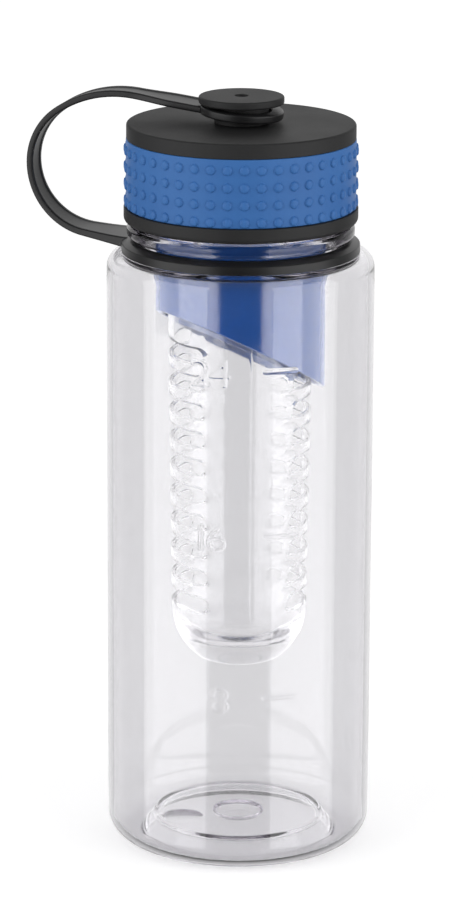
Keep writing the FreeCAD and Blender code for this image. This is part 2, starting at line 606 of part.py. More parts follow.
collar_tube = tube("collar_tube", COLLAR_RADIUS, COLLAR_BORE, BLANK_LOW, COLLAR_TOP)
collar_skirt = combine("Part::Cut", "collar_skirt", collar_tube, slab("edge_cut", BELOW + " * 2", "0"))
FLANGE_LOW = f"({SOCKET_LOW} - dims.flange_height)"
FLANGE_RADIUS = f"({COLLAR_RADIUS} + dims.flange_reach)"
MID_WALL = f"({COLLAR_RADIUS} - dims.collar_wall / 2)"
collar_flange = tube("collar_flange", FLANGE_RADIUS, MID_WALL, FLANGE_LOW, SOCKET_LOW)
shelf_tube = tube("shelf_tube", MID_WALL, SPIGOT_BORE, BLANK_LOW, BLANK_HIGH)
collar_shelf = combine("Part::Common", "collar_shelf", shelf_tube, slab("shelf_slab", SHELF_LOW, SHELF_HIGH))
spigot_tube = tube("spigot_tube", SPIGOT_RADIUS, SPIGOT_BORE, BLANK_LOW, BLANK_HIGH)
spigot_slab = slab("spigot_slab", "(0 - dims.spigot_reach)", SHELF_HIGH)
collar_spigot = combine("Part::Common", "collar_spigot", spigot_tube, spigot_slab)
infuser_collar = doc.addObject("Part::MultiFuse", "infuser_collar")
infuser_collar.Shapes = [collar_skirt, collar_flange, collar_shelf, collar_spigot]
infuser_collar.Refine = True
infuser_collar.Label = "infuser_collar"

# Basket: a tapered tube with a domed end and two columns of slots, cut off at the slanted rim

DOME_FLAT = f"({BASKET_LOW_RADIUS} - dims.dome_edge)"
DOME_DEPTH = f"sqrt({BASKET_LOW_RADIUS} ^ 2 - {DOME_FLAT} ^ 2)"
DOME_LOW = f"({DOME_HEIGHT} - {DOME_DEPTH})"
FLOOR_ROUND = f"({DOME_DEPTH} - dims.floor_thickness)"
DOME_FLOOR = f"({DOME_HEIGHT} - {FLOOR_ROUND})"
DOME_BORE = f"({BASKET_LOW_RADIUS} - dims.basket_wall)"
FLOOR_RADIUS = f"({DOME_BORE} - {FLOOR_ROUND})"
basket_tube = new_body("basket_tube")
revolve(basket_tube, "basket_blank", [
    ("0", DOME_LOW),
    (DOME_FLAT, DOME_LOW, BASKET_LOW_RADIUS, "left"),
    (BASKET_LOW_RADIUS, DOME_HEIGHT),
    (BASKET_TOP_RADIUS, BASKET_HIGH),
    (BASKET_TOP_RADIUS + " - dims.basket_wall", BASKET_HIGH),
    (DOME_BORE, DOME_HEIGHT, FLOOR_ROUND, "right"),
    (FLOOR_RADIUS, DOME_FLOOR),
    ("0", DOME_FLOOR),
])

# Each slot is as wide as its share of the tube. The highest row on each side ends below the rim's bead.
SLOT_HALF = f"({BASKET_LOW_RADIUS} * sin(dims.slot_angle / 2 * 1 deg) - dims.slot_height / 2)"
SLOT_ROW = f"({DOME_HEIGHT} + dims.slot_start)"
BEAD_LINE = f"({EDGE_HEIGHT} + dims.basket_insert - dims.rim_bead_height)"
SLOT_ROOM = f"({BEAD_LINE} - {SLOT_ROW} - dims.slot_height / 2)"
RIM_DROP = f"({BASKET_TOP_RADIUS} * {SLANT_DROP})"
HIGH_END = "cos((dims.slot_angle / 2 + dims.edge_azimuth - dims.slot_azimuth) * 1 deg)"


def slot_column(name, toward_low_side, room):
    """Column of slots through one side of the basket, from the lowest row up."""
    sketch = new_sketch(basket_tube, name + "_outline", "YZ_Plane")
    half_height = size("dims.slot_height / 2")
    middle = size(SLOT_ROW)
    half = size(SLOT_HALF)
    up = FreeCAD.Vector(0, half_height, 0)
    right = FreeCAD.Vector(half, middle, 0)
    left = FreeCAD.Vector(-half, middle, 0)
    quarter = math.pi / 2
    ends = FreeCAD.Vector(0, 0, 1)
    sketch.addGeometry(Part.LineSegment(left - up, right - up), False)
    sketch.addGeometry(Part.ArcOfCircle(Part.Circle(right, ends, half_height), -quarter, quarter), False)
    sketch.addGeometry(Part.LineSegment(right + up, left + up), False)
    sketch.addGeometry(Part.ArcOfCircle(Part.Circle(left, ends, half_height), quarter, 3 * quarter), False)
    for joint in ((0, 2, 1, 1), (1, 2, 2, 1), (2, 2, 3, 1), (3, 2, 0, 1)):
        sketch.addConstraint(Sketcher.Constraint("Tangent", *joint))
    sketch.addConstraint(Sketcher.Constraint("Equal", 1, 3))
    sketch.addConstraint(Sketcher.Constraint("Symmetric", 0, 1, 0, 2, -2))
    bind(sketch, "Radius", (1,), "dims.slot_height / 2")
    bind(sketch, "DistanceX", (1, 3), SLOT_HALF)
    bind(sketch, "DistanceY", (1, 3), SLOT_ROW)
    slot = basket_tube.newObject("PartDesign::Pocket", name)
    slot.Profile = sketch
    slot.Type = "ThroughAll"
    slot.Reversed = toward_low_side
    column = basket_tube.newObject("PartDesign::LinearPattern", name + "_rows")
    column.Originals = [slot]
    column.Direction = (sketch, ["V_Axis"])
    column.setExpression("Occurrences", f"floor(({room}) / dims.slot_pitch) + 1")
    column.setExpression("Length", f"floor(({room}) / dims.slot_pitch) * dims.slot_pitch")
    basket_tube.Tip = column


slot_column("low_slot", True, f"{SLOT_ROOM} - {RIM_DROP}")
slot_column("high_slot", False, f"{SLOT_ROOM} + {RIM_DROP} * {HIGH_END}")
slot_turn = FreeCAD.Rotation(FreeCAD.Vector(0, 0, 1), size("dims.slot_azimuth"))
basket_tube.Placement = FreeCAD.Placement(FreeCAD.Vector(0, 0, 0), slot_turn)

basket_cut = slab("rim_cut", "dims.basket_insert", ABOVE + " * 2")
basket_wall = combine("Part::Cut", "basket_wall", basket_tube, basket_cut)
BEAD_BORE = f"({BASKET_TOP_RADIUS} - dims.basket_wall / 2)"
bead_tube = tube("bead_tube", RIM_BEAD_RADIUS, BEAD_BORE, BLANK_LOW, BLANK_HIGH)
bead_slab = slab("bead_slab", "(dims.basket_insert - dims.rim_bead_height)", "dims.basket_insert")
rim_bead = combine("Part::Common", "rim_bead", bead_tube, bead_slab)
infuser_basket = doc.addObject("Part::MultiFuse", "infuser_basket")
infuser_basket.Shapes = [basket_wall, rim_bead]
infuser_basket.Refine = True
infuser_basket.Label = "infuser_basket"

# Build, check and write one file for each piece

PIECES = [
    bottle_body,
    lid_shell,
    lid_grip_band,
    lid_seal,
    tether_stud,
    tether_eyelet,
    tether_strap,
    tether_ring,
    infuser_collar,
    infuser_basket,
]

doc.recompute()
for item in doc.Objects:
    for word in ("Invalid", "Error"):
        if word in item.State:
            raise RuntimeError("%s is in state %s" % (item.Label, item.State))
for piece in PIECES:
    shape = piece.Shape
    if shape.isNull() or not shape.isValid() or len(shape.Solids) != 1:
        raise RuntimeError("%s is not one valid solid" % piece.Label)
    box = shape.BoundBox
    corners = (box.XMin, box.YMin, box.ZMin, box.XMax, box.YMax, box.ZMax)
    print(piece.Label, "volume %.1f mm3," % shape.Volume, "box", ["%.2f" % value for value in corners])

os.makedirs("parts", exist_ok=True)
for piece in PIECES:
    piece.Shape.exportStep("parts/%s.step" % piece.Label)
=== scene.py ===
"""Fruit infuser water bottle: fine meshes, materials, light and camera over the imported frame.

Sizes are in millimetres and degrees. Heights are above the surface that the bottle stands on,
azimuths are from +X towards +Y, and the front is at 270 degrees.
"""
import math

import bmesh
import bpy
import numpy as np
from mathutils import Matrix, Vector


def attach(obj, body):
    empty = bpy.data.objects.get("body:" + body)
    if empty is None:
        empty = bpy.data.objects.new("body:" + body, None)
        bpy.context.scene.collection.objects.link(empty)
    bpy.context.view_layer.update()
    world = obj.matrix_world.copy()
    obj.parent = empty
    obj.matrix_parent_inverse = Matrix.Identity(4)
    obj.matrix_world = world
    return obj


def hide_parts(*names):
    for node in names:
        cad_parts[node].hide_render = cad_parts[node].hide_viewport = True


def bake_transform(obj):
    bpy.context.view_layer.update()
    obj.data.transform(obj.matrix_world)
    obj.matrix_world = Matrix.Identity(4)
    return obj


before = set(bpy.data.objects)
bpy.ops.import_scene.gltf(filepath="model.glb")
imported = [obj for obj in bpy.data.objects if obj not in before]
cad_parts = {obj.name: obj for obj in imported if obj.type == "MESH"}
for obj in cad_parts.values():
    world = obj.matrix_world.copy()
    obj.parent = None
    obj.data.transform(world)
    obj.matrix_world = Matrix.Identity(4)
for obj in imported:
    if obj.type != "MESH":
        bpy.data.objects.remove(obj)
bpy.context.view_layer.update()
MM = 0.001
FRONT = 270.0

# Sizes shared by several pieces

BODY_RADIUS = 40.0
BODY_WALL = 1.8
PUSH_UP = 5.2
FLOOR = PUSH_UP + BODY_WALL
FOOT_ROUND = 8.0
SHOULDER = 183.0
SHOULDER_ROUND = 4.6
THREAD_ROOT = 30.6
NECK_BORE = 28.6
BEAD_LOW = 187.2
BEAD_HIGH = 191.7
RIM = 215.6
CEILING = 218.6
LID_TOP = 221.6
SKIRT_LOW = 192.1
BAND_LOW = 196.6
BAND_HIGH = 217.1
BAND_SEAT = 33.0
BAND_RADIUS = 34.2
LID_BORE = 31.9
SOCKET_LOW = 206.0
SOCKET_BORE = 25.7
SOCKET_OUTSIDE = 27.3
STEM_LOW = 213.0
HEAD_LOW = 227.4
HEAD_TOP = 229.7
THREAD_LEAD = 8.0
LOOP_AZIMUTH = 164.5
EYE_TILT = 4.5
EYE_HEIGHT = 224.95
COLLAR_RADIUS = 25.4
COLLAR_BORE = 23.7
COLLAR_TOP = 218.3
EDGE_HEIGHT = 152.9
EDGE_SLANT = 28.8
EDGE_AZIMUTH = 33.0
CHAMFER = 0.3
BASKET_INSERT = 10.0
SPIGOT_RADIUS = 19.57
SPIGOT_BORE = 18.07
SLOT_AZIMUTH = 8.7


# Mesh helpers


def polar(radius, azimuth, height):
    """Point in metres."""
    angle = math.radians(azimuth)
    return Vector((radius * math.cos(angle), radius * math.sin(angle), height)) * MM


def rounded(corners, steps=5):
    """Closed outline of (radius, height) points; a corner's third value is the round on it."""
    points = []
    for index, corner in enumerate(corners):
        here = Vector(corner[:2])
        if len(corner) == 2:
            points.append(here)
            continue
        before = (Vector(corners[index - 1][:2]) - here).normalized()
        after = (Vector(corners[(index + 1) % len(corners)][:2]) - here).normalized()
        half = before.angle(after) / 2
        start = here + before * (corner[2] / math.tan(half))
        end = here + after * (corner[2] / math.tan(half))
        centre = here + (before + after).normalized() * (corner[2] / math.sin(half))
        sweep = math.pi - 2 * half
        side = 1 if before.cross(after) < 0 else -1
        for step in range(steps + 1):
            turn_by = side * sweep * step / steps
            spoke = start - centre
            turned = (
                spoke.x * math.cos(turn_by) - spoke.y * math.sin(turn_by),
                spoke.x * math.sin(turn_by) + spoke.y * math.cos(turn_by),
            )
            points.append(centre + Vector(turned))
        points[-1] = end
    return [(point.x, point.y) for point in points]


def even_angles(count):
    """Azimuths at equal steps once round."""
    return [360.0 * index / count for index in range(count)]


def turned_mesh(outline, angles):
    """Mesh of a closed outline taken once round the axis."""
    mesh = bmesh.new()
    rings = []
    for radius, height in outline:
        if radius < 1e-6:
            rings.append([mesh.verts.new(polar(0, 0, height))])
        else:
            rings.append([mesh.verts.new(polar(radius, angle, height)) for angle in angles])
    for index, ring in enumerate(rings):
        join_rings(mesh, ring, rings[(index + 1) % len(rings)])
    return mesh


def join_rings(mesh, ring, other):
    """Faces between two closed rings; a ring of one vertex is a pole."""
    count = max(len(ring), len(other))
    if count == 1:
        return
    for step in range(count):
        after = (step + 1) % count
        if len(ring) == 1:
            corners = [ring[0], other[after], other[step]]
        elif len(other) == 1:
            corners = [ring[step], ring[after], other[0]]
        else:
            corners = [ring[step], ring[after], other[after], other[step]]
        mesh.faces.new(corners)


def add_piece(mesh, name, body, material, replaces=(), sharp=35.0):
    """Object from a bmesh, shaded smooth with sharp edges, that rides on a body."""
    bmesh.ops.recalc_face_normals(mesh, faces=mesh.faces)
    data = bpy.data.meshes.new(name)
    mesh.to_mesh(data)
    mesh.free()
    data.polygons.foreach_set("use_smooth", [True] * len(data.polygons))
    data.set_sharp_from_angle(angle=math.radians(sharp))
    piece = bpy.data.objects.new(name, data)
    bpy.context.scene.collection.objects.link(piece)
    data.materials.append(material)
    shading = piece.modifiers.new("shading", "WEIGHTED_NORMAL")
    shading.keep_sharp = True
    shading.weight = 80
    if body:
        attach(piece, body)
    for node in replaces:
        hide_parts(node)
    return piece


def edge_plane(radius, azimuth, above):
    """Height of the slanted plane that lies a distance above the collar's edge on the axis."""
    drop = radius * math.tan(math.radians(EDGE_SLANT)) * math.cos(math.radians(azimuth - EDGE_AZIMUTH))
    return EDGE_HEIGHT + above - drop


def slanted(above):
    """Rule for the heights of a ring that lies in the slanted plane."""
    return lambda radius, azimuth: edge_plane(radius, azimuth, above)


def ring_of(mesh, radius, angles, height):
    """Ring of vertices; the height is a number or a rule from slanted."""
    ring = []
    for angle in angles:
        level = height(radius, angle) if callable(height) else height
        ring.append(mesh.verts.new(polar(radius, angle, level)))
    return ring


# Materials


NOISE_SPAN = (0.3, 0.7)
# Clear plastic: its tint where it is thick, and its faint waves
THICK_TINT = (0.06, 0.0, 0.12, 1)
WAVE_SCALE = 60
WAVE_HEIGHT = 0.0004
HAZE_SPREAD = 0.03
# Other plastic and rubber: clouds of colour and roughness, and a fine grain
CLOUD_SCALE = 45
CLOUD_STOPS = (0.35, 0.65)
ROUGH_SPREAD = 0.04
GRAIN_HEIGHT = 0.0001


def new_material(name):
    """Material with its nodes, its links and its Principled shader."""
    material = bpy.data.materials.new(name)
    material.use_nodes = True
    nodes = material.node_tree.nodes
    return material, nodes, material.node_tree.links, nodes["Principled BSDF"]


def add_noise(nodes, links, scale, detail, roughness=0.5):
    """Noise in the object's own millimetres."""
    place = nodes.new("ShaderNodeTexCoord")
    noise = nodes.new("ShaderNodeTexNoise")
    noise.inputs["Scale"].default_value = scale
    noise.inputs["Detail"].default_value = detail
    noise.inputs["Roughness"].default_value = roughness
    links.new(place.outputs["Object"], noise.inputs["Vector"])
    return noise


def stretch(nodes, links, source, span, low, high):
    """Value that runs over a span, stretched between two numbers."""
    spread = nodes.new("ShaderNodeMapRange")
    spread.inputs["From Min"].default_value = span[0]
    spread.inputs["From Max"].default_value = span[1]
    spread.inputs["To Min"].default_value = low
    spread.inputs["To Max"].default_value = high
    links.new(source, spread.inputs["Value"])
    return spread.outputs["Result"]


def add_bump(nodes, links, shader, height, strength, distance):
    """Bump from a height socket."""
    bump = nodes.new("ShaderNodeBump")
    bump.inputs["Strength"].default_value = strength
    bump.inputs["Distance"].default_value = distance
    links.new(height, bump.inputs["Height"])
    links.new(bump.outputs["Normal"], shader.inputs["Normal"])


def add_mix(nodes, links, share, first, second):
    """Mix of two shaders."""
    mix = nodes.new("ShaderNodeMixShader")
    links.new(share, mix.inputs["Fac"])
    links.new(first, mix.inputs[1])
    links.new(second, mix.inputs[2])
    return mix.outputs["Shader"]


def clear_plastic(name, colour, shade, waviness, density, ior, haze):
    """Clear moulding: slightly wavy, greyer where it is thick, and lamps shine through it."""
    material, nodes, links, shader = new_material(name)
    shader.inputs["Base Color"].default_value = (*colour, 1)
    shader.inputs["Transmission Weight"].default_value = 1.0
    shader.inputs["IOR"].default_value = ior
    depth = nodes.new("ShaderNodeVolumeAbsorption")
    depth.inputs["Color"].default_value = THICK_TINT
    depth.inputs["Density"].default_value = density
    links.new(depth.outputs["Volume"], nodes["Material Output"].inputs["Volume"])
    flow = add_noise(nodes, links, WAVE_SCALE, 2)
    rough = stretch(nodes, links, flow.outputs["Fac"], NOISE_SPAN, haze, haze + HAZE_SPREAD)
    links.new(rough, shader.inputs["Roughness"])
    add_bump(nodes, links, shader, flow.outputs["Fac"], waviness, WAVE_HEIGHT)
    path = nodes.new("ShaderNodeLightPath")
    through = nodes.new("ShaderNodeBsdfTransparent")
    through.inputs["Color"].default_value = (shade, shade, shade, 1)
    in_shadow = path.outputs["Is Shadow Ray"]
    surface = add_mix(nodes, links, in_shadow, shader.outputs["BSDF"], through.outputs["BSDF"])
    links.new(surface, nodes["Material Output"].inputs["Surface"])
    return material


def solid_plastic(name, dark, light, rough, grain_scale, grain, specular=0.5, ior=1.5):
    """Moulded plastic or rubber: colour varies a little, with a fine grain."""
    material, nodes, links, shader = new_material(name)
    cloud = add_noise(nodes, links, CLOUD_SCALE, 3)
    colour = nodes.new("ShaderNodeValToRGB")
    for stop, place, tone in zip(colour.color_ramp.elements, CLOUD_STOPS, (dark, light)):
        stop.position = place
        stop.color = (*tone, 1)
    links.new(cloud.outputs["Fac"], colour.inputs["Fac"])
    links.new(colour.outputs["Color"], shader.inputs["Base Color"])
    low, high = rough - ROUGH_SPREAD, rough + ROUGH_SPREAD
    links.new(stretch(nodes, links, cloud.outputs["Fac"], NOISE_SPAN, low, high), shader.inputs["Roughness"])
    shader.inputs["Specular IOR Level"].default_value = specular
    shader.inputs["IOR"].default_value = ior
    fine = add_noise(nodes, links, grain_scale, 4, 0.6)
    add_bump(nodes, links, shader, fine.outputs["Fac"], grain, GRAIN_HEIGHT)
    return material


CLEAR_BODY = clear_plastic(
    "clear_body", (0.88, 0.88, 0.885), shade=0.9, waviness=0.05, density=36.0, ior=1.4, haze=0.0
)
CLEAR_BASKET = clear_plastic(
    "clear_basket", (0.984, 0.984, 0.986), shade=0.96, waviness=0.05, density=2.0, ior=1.44, haze=0.05
)
BLACK_PLASTIC = solid_plastic(
    "black_plastic", (0.013, 0.013, 0.0135), (0.017, 0.017, 0.0175),
    rough=0.58, grain_scale=2600, grain=0.35, specular=0.28,
)
BLACK_RUBBER = solid_plastic(
    "black_rubber", (0.007, 0.007, 0.0075), (0.010, 0.010, 0.0105),
    rough=0.38, grain_scale=1500, grain=0.12, specular=0.35,
)
BLUE_RUBBER = solid_plastic(
    "blue_rubber", (0.029, 0.115, 0.328), (0.035, 0.129, 0.353),
    rough=0.5, grain_scale=2200, grain=0.2, specular=0.25,
)
BLUE_PLASTIC = solid_plastic(
    "blue_plastic", (0.009, 0.062, 0.255), (0.012, 0.069, 0.275),
    rough=0.13, grain_scale=1400, grain=0.03, specular=0.52, ior=2.0,
)
SEAL_RUBBER = solid_plastic(
    "seal_rubber", (0.62, 0.62, 0.6), (0.7, 0.7, 0.68), rough=0.55, grain_scale=1500, grain=0.15
)


# Bottle body: one shell, with the volume marks raised on its front and a dish pressed into its floor


NECK_RADIUS = 31.6
BEAD_RADIUS = 34.0
BEAD_FLANK = 33.2
GATE_RADIUS = 7.6
MARK_EDGE = 0.36
NUMERAL_TALL = 8.1
NUMERAL_WIDEN = 1.18
NUMERAL_DROP = 4.6
STROKE_TRIM = 0.12
# Height of each tick, how far its marks stand out, and its digits with the left edge of each
MARKS = [
    (155.4, 0.36, [("2", -14.8), ("4", -9.2)]),
    (105.4, 0.62, [("1", -12.3), ("6", -9.8)]),
    (55.4, 0.5, [("8", -8.8)]),
]
TICK_FROM = 7.5
TICK_TO = 16.8
TICK_HALF = 0.5
# Fine part of the wall: degrees to both sides of the front, and heights about each mark
MARK_LEFT = 23
MARK_RIGHT = 26
MARK_STEP = 0.4
MARK_MIDDLE = -0.5
MARK_HALF = 5.4
MARK_ROW = 0.28
MARK_REACH = 9.0
PLAIN_STEPS = 150
PLAIN_ROWS = 25
DISH_PLACE = (-16.9, -8.2)
DISH_RADIUS = 6.2
DISH_DEPTH = 0.8


def numeral_outline(text):
    """Edges of a numeral, in millimetres from its lower left corner."""
    curve = bpy.data.curves.new("numeral", "FONT")
    curve.body = text
    curve.resolution_u = 8
    holder = bpy.data.objects.new("numeral", curve)
    flat = bpy.data.meshes.new_from_object(holder)
    shape = bmesh.new()
    shape.from_mesh(flat)
    points = np.array([vertex.co.xy for vertex in shape.verts])
    low = points.min(0)
    scale = NUMERAL_TALL / (points[:, 1].max() - low[1])
    edges = [[end.co.xy for end in edge.verts] for edge in shape.edges if edge.is_boundary]
    shape.free()
    bpy.data.objects.remove(holder)
    bpy.data.curves.remove(curve)
    bpy.data.meshes.remove(flat)
    return (np.array(edges) - low) * scale * np.array([NUMERAL_WIDEN, 1.0])


def distance_inside(points, edges):
    """Distance of each point to the outline, positive inside it."""
    start = edges[None, :, 0]
    along = edges[None, :, 1] - start
    away = points[:, None] - start
    share = np.clip((away * along).sum(2) / np.maximum((along ** 2).sum(2), 1e-12), 0, 1)
    distance = np.linalg.norm(away - along * share[..., None], axis=2).min(1)
    above = (edges[None, :, :, 1] > points[:, None, None, 1])
    crosses = above[..., 0] != above[..., 1]
    rise = np.where(crosses, along[..., 1], 1.0)
    reach = start[..., 0] + along[..., 0] * (points[:, None, 1] - start[..., 1]) / rise
    inside = (crosses & (reach > points[:, None, 0])).sum(1) % 2 == 1
    return np.where(inside, distance, -distance)


def raise_marks(mesh):
    """Lift the outside wall's vertices under the numerals and ticks."""
    wall = []
    for vertex in mesh.verts:
        radius = vertex.co.xy.length / MM
        if abs(radius - BODY_RADIUS) < 0.01 and vertex.co.y < 0:
            wall.append(vertex)
    around = np.array([math.atan2(v.co.x, -v.co.y) * BODY_RADIUS for v in wall])
    height = np.array([v.co.z / MM for v in wall])
    lift = np.full(len(wall), -MARK_REACH)
    full = np.zeros(len(wall))
    for level, relief, digits in MARKS:
        near = np.abs(height - level) < MARK_REACH
        full[near] = relief
        for digit, left in digits:
            places = np.stack([around[near] - left, height[near] - level + NUMERAL_DROP], 1)
            inside = distance_inside(places, numeral_outline(digit)) - STROKE_TRIM
            lift[near] = np.maximum(lift[near], inside)
        across = np.maximum(np.maximum(TICK_FROM - around, around - TICK_TO), 0)
        tick = TICK_HALF - np.hypot(across, height - level)
        lift = np.maximum(lift, tick)
    share = np.clip(lift / MARK_EDGE + 0.5, 0, 1)
    share = share * share * (3 - 2 * share) * full
    for vertex, rise in zip(wall, share):
        if rise > 0:
            grow = (BODY_RADIUS + rise) / BODY_RADIUS
            vertex.co.x *= grow
            vertex.co.y *= grow


def bottle_angles():
    """Azimuths round the bottle, closer together at the marks."""
    first, last = FRONT - MARK_LEFT, FRONT + MARK_RIGHT
    angles = list(np.arange(first, last + 0.01, MARK_STEP))
    angles += list(np.linspace(last, first + 360, PLAIN_STEPS)[1:-1])
    return [angle % 360 for angle in angles]


def wall_heights():
    """Heights along the straight wall, closer together at the marks."""
    heights = list(np.linspace(FOOT_ROUND, SHOULDER - SHOULDER_ROUND, PLAIN_ROWS))
    for level, *_ in MARKS:
        middle = level + MARK_MIDDLE
        heights = [height for height in heights if abs(height - middle) > MARK_HALF + 0.6]
        heights += list(np.arange(middle - MARK_HALF, middle + MARK_HALF, MARK_ROW))
    return sorted(heights)


def bottle_outline():
    """Half section of the bottle, outside from the base up and inside back down."""
    foot = rounded([
        (0, PUSH_UP - 1.6),
        (4.0, PUSH_UP - 1.5, 1.5),
        (7.1, PUSH_UP - 1.0, 0.4),
        (GATE_RADIUS, PUSH_UP, 0.3),
        (24.4, PUSH_UP, 2.0),
        (28.0, 0, 1.5),
        (BODY_RADIUS, 0, FOOT_ROUND),
        (BODY_RADIUS, 20),
    ], 8)[:-1]
    wall = [(BODY_RADIUS, height) for height in wall_heights()[1:-1]]
    top = rounded([
        (BODY_RADIUS, 170),
        (BODY_RADIUS, SHOULDER, SHOULDER_ROUND),
        (NECK_RADIUS, SHOULDER, 0.3),
        (NECK_RADIUS, BEAD_LOW, 0.3),
        (BEAD_FLANK, BEAD_LOW + 0.5, 0.4),
        (BEAD_RADIUS, BEAD_LOW + 1.3, 0.8),
        (BEAD_RADIUS, BEAD_HIGH - 1.3, 0.8),
        (BEAD_FLANK, BEAD_HIGH - 0.4, 0.5),
        (THREAD_ROOT, BEAD_HIGH, 0.3),
        (THREAD_ROOT, RIM, 0.7),
        (NECK_BORE, RIM, 0.7),
        (NECK_BORE, SHOULDER - BODY_WALL, 1.5),
        (BODY_RADIUS - BODY_WALL, SHOULDER - BODY_WALL, 2.8),
        (BODY_RADIUS - BODY_WALL, BODY_WALL, 6.2),
        (29.4, BODY_WALL, 2.0),
        (25.6, FLOOR, 1.6),
        *[(24 - 0.5 * step, FLOOR) for step in range(28)],
        (GATE_RADIUS, FLOOR, 0.4),
        (6.9, FLOOR - 0.9, 0.4),
        (4.5, FLOOR - 1.1, 1.5),
        (0, FLOOR - 1.2),
    ], 6)[1:]
    return foot + wall + top


def press_dish(mesh):
    """Plain round dish in the floor, beside its middle."""
    for vert in mesh.verts:
        away = math.dist(vert.co.xy / MM, DISH_PLACE) / DISH_RADIUS
        if away < 1 and abs(vert.co.z / MM - FLOOR) < 0.01:
            vert.co.z = (FLOOR - DISH_DEPTH * math.sqrt(1 - away ** 2)) * MM


bottle = turned_mesh(bottle_outline(), bottle_angles())
raise_marks(bottle)
press_dish(bottle)
add_piece(bottle, "bottle_shell", "bottle", CLEAR_BODY, ["bottle_body"], sharp=80.0)


TURN_STEPS = 96
FADE_STEPS = 10


def helix_ridge(root, crest, low, turns, phase, root_half, crest_half):
    """Thread of one start: a ridge with faded ends, from a root radius to a crest radius."""
    mesh = bmesh.new()
    steps = int(TURN_STEPS * turns)
    sections = []
    for step in range(steps + 1):
        fade = min(1.0, step / FADE_STEPS, (steps - step) / FADE_STEPS)
        fade = 0.02 + 0.98 * math.sin(fade * math.pi / 2)
        azimuth = phase + 360.0 * turns * step / steps
        middle = low + THREAD_LEAD * turns * step / steps
        top = root + (crest - root) * fade
        sections.append([
            mesh.verts.new(polar(root, azimuth, middle - root_half)),
            mesh.verts.new(polar(top, azimuth, middle - crest_half)),
            mesh.verts.new(polar(top, azimuth, middle + crest_half)),
            mesh.verts.new(polar(root, azimuth, middle + root_half)),
        ])
    for section, after in zip(sections, sections[1:]):
        for side in range(4):
            other = (side + 1) % 4
            mesh.faces.new([section[side], section[other], after[other], after[side]])
    mesh.faces.new(sections[0])
    mesh.faces.new(reversed(sections[-1]))
    return mesh


neck_thread = helix_ridge(
    root=THREAD_ROOT - 0.1, crest=31.5, low=199.0, turns=1.6, phase=200.0, root_half=1.3, crest_half=0.6
)
add_piece(neck_thread, "neck_thread", "bottle", CLEAR_BODY)


# Lid, grip band and seal


SKIRT_RADIUS = 34.9
TOP_RADIUS = 34.1
BOSS_RADIUS = 7.4
BOSS_LOW = STEM_LOW - 2.4
STEM_HOLE = 5.05
SEAL_BORE = 28.4
SEAL_RADIUS = 31.5
SEAL_LOW = 215.9
SEAL_TOP = CEILING - 0.04
SLEEVE_GAP = 0.05

lid_outline = rounded([
    (0, BOSS_LOW),
    (BOSS_RADIUS, BOSS_LOW, 0.4),
    (BOSS_RADIUS, CEILING, 0.4),
    (SOCKET_BORE, CEILING, 0.4),
    (SOCKET_BORE, SOCKET_LOW, 0.3),
    (SOCKET_OUTSIDE, SOCKET_LOW, 0.5),
    (SOCKET_OUTSIDE, CEILING, 0.3),
    (LID_BORE, CEILING, 0.3),
    (LID_BORE, SKIRT_LOW, 0.5),
    (SKIRT_RADIUS, SKIRT_LOW, 1.5),
    (SKIRT_RADIUS, BAND_LOW, 0.25),
    (BAND_SEAT, BAND_LOW, 0.1),
    (BAND_SEAT, BAND_HIGH, 0.1),
    (TOP_RADIUS, BAND_HIGH, 0.25),
    (TOP_RADIUS, LID_TOP, 0.7),
    (STEM_HOLE, LID_TOP, 0.2),
    (STEM_HOLE, STEM_LOW),
    (0, STEM_LOW),
])
lid_cup = turned_mesh(lid_outline, even_angles(192))
add_piece(lid_cup, "lid_cup", "lid", BLACK_PLASTIC, ["lid_shell"])

lid_thread = helix_ridge(
    root=LID_BORE + 0.2, crest=31.0, low=196.5, turns=1.5, phase=330.0, root_half=1.2, crest_half=0.6
)
add_piece(lid_thread, "lid_thread", "lid", BLACK_PLASTIC)

seal_outline = rounded([
    (SEAL_BORE, SEAL_LOW, 0.5),
    (SEAL_RADIUS, SEAL_LOW, 0.5),
    (SEAL_RADIUS, SEAL_TOP, 0.2),
    (SEAL_BORE, SEAL_TOP, 0.2),
])
seal = turned_mesh(seal_outline, even_angles(128))
add_piece(seal, "rim_seal", "seal", SEAL_RUBBER, ["lid_seal"])

sleeve_outline = rounded([
    (BAND_SEAT + SLEEVE_GAP, BAND_LOW + SLEEVE_GAP),
    (BAND_RADIUS, BAND_LOW + SLEEVE_GAP, 0.4),
    (BAND_RADIUS, BAND_HIGH - SLEEVE_GAP, 0.4),
    (BAND_SEAT + SLEEVE_GAP, BAND_HIGH - SLEEVE_GAP),
])
sleeve = turned_mesh(sleeve_outline, even_angles(192))
add_piece(sleeve, "grip_sleeve", "lid", BLUE_RUBBER, ["lid_grip_band"])

DOT_COLUMNS = 43
DOT_ROWS = 4
DOT_PITCH = 5.15
DOT_TOP_ROW = 213.8
DOT_AZIMUTH = FRONT + 1.7
DOT_SIDES = 20
DOT_TIP = 0.68
# Half section of a dot: distance from its middle and height above the sleeve
DOT_SECTION = [(1.55, -0.05), (1.44, 0.08), (1.34, 0.34), (1.16, 0.53), (0.8, 0.63), (0.4, 0.67)]


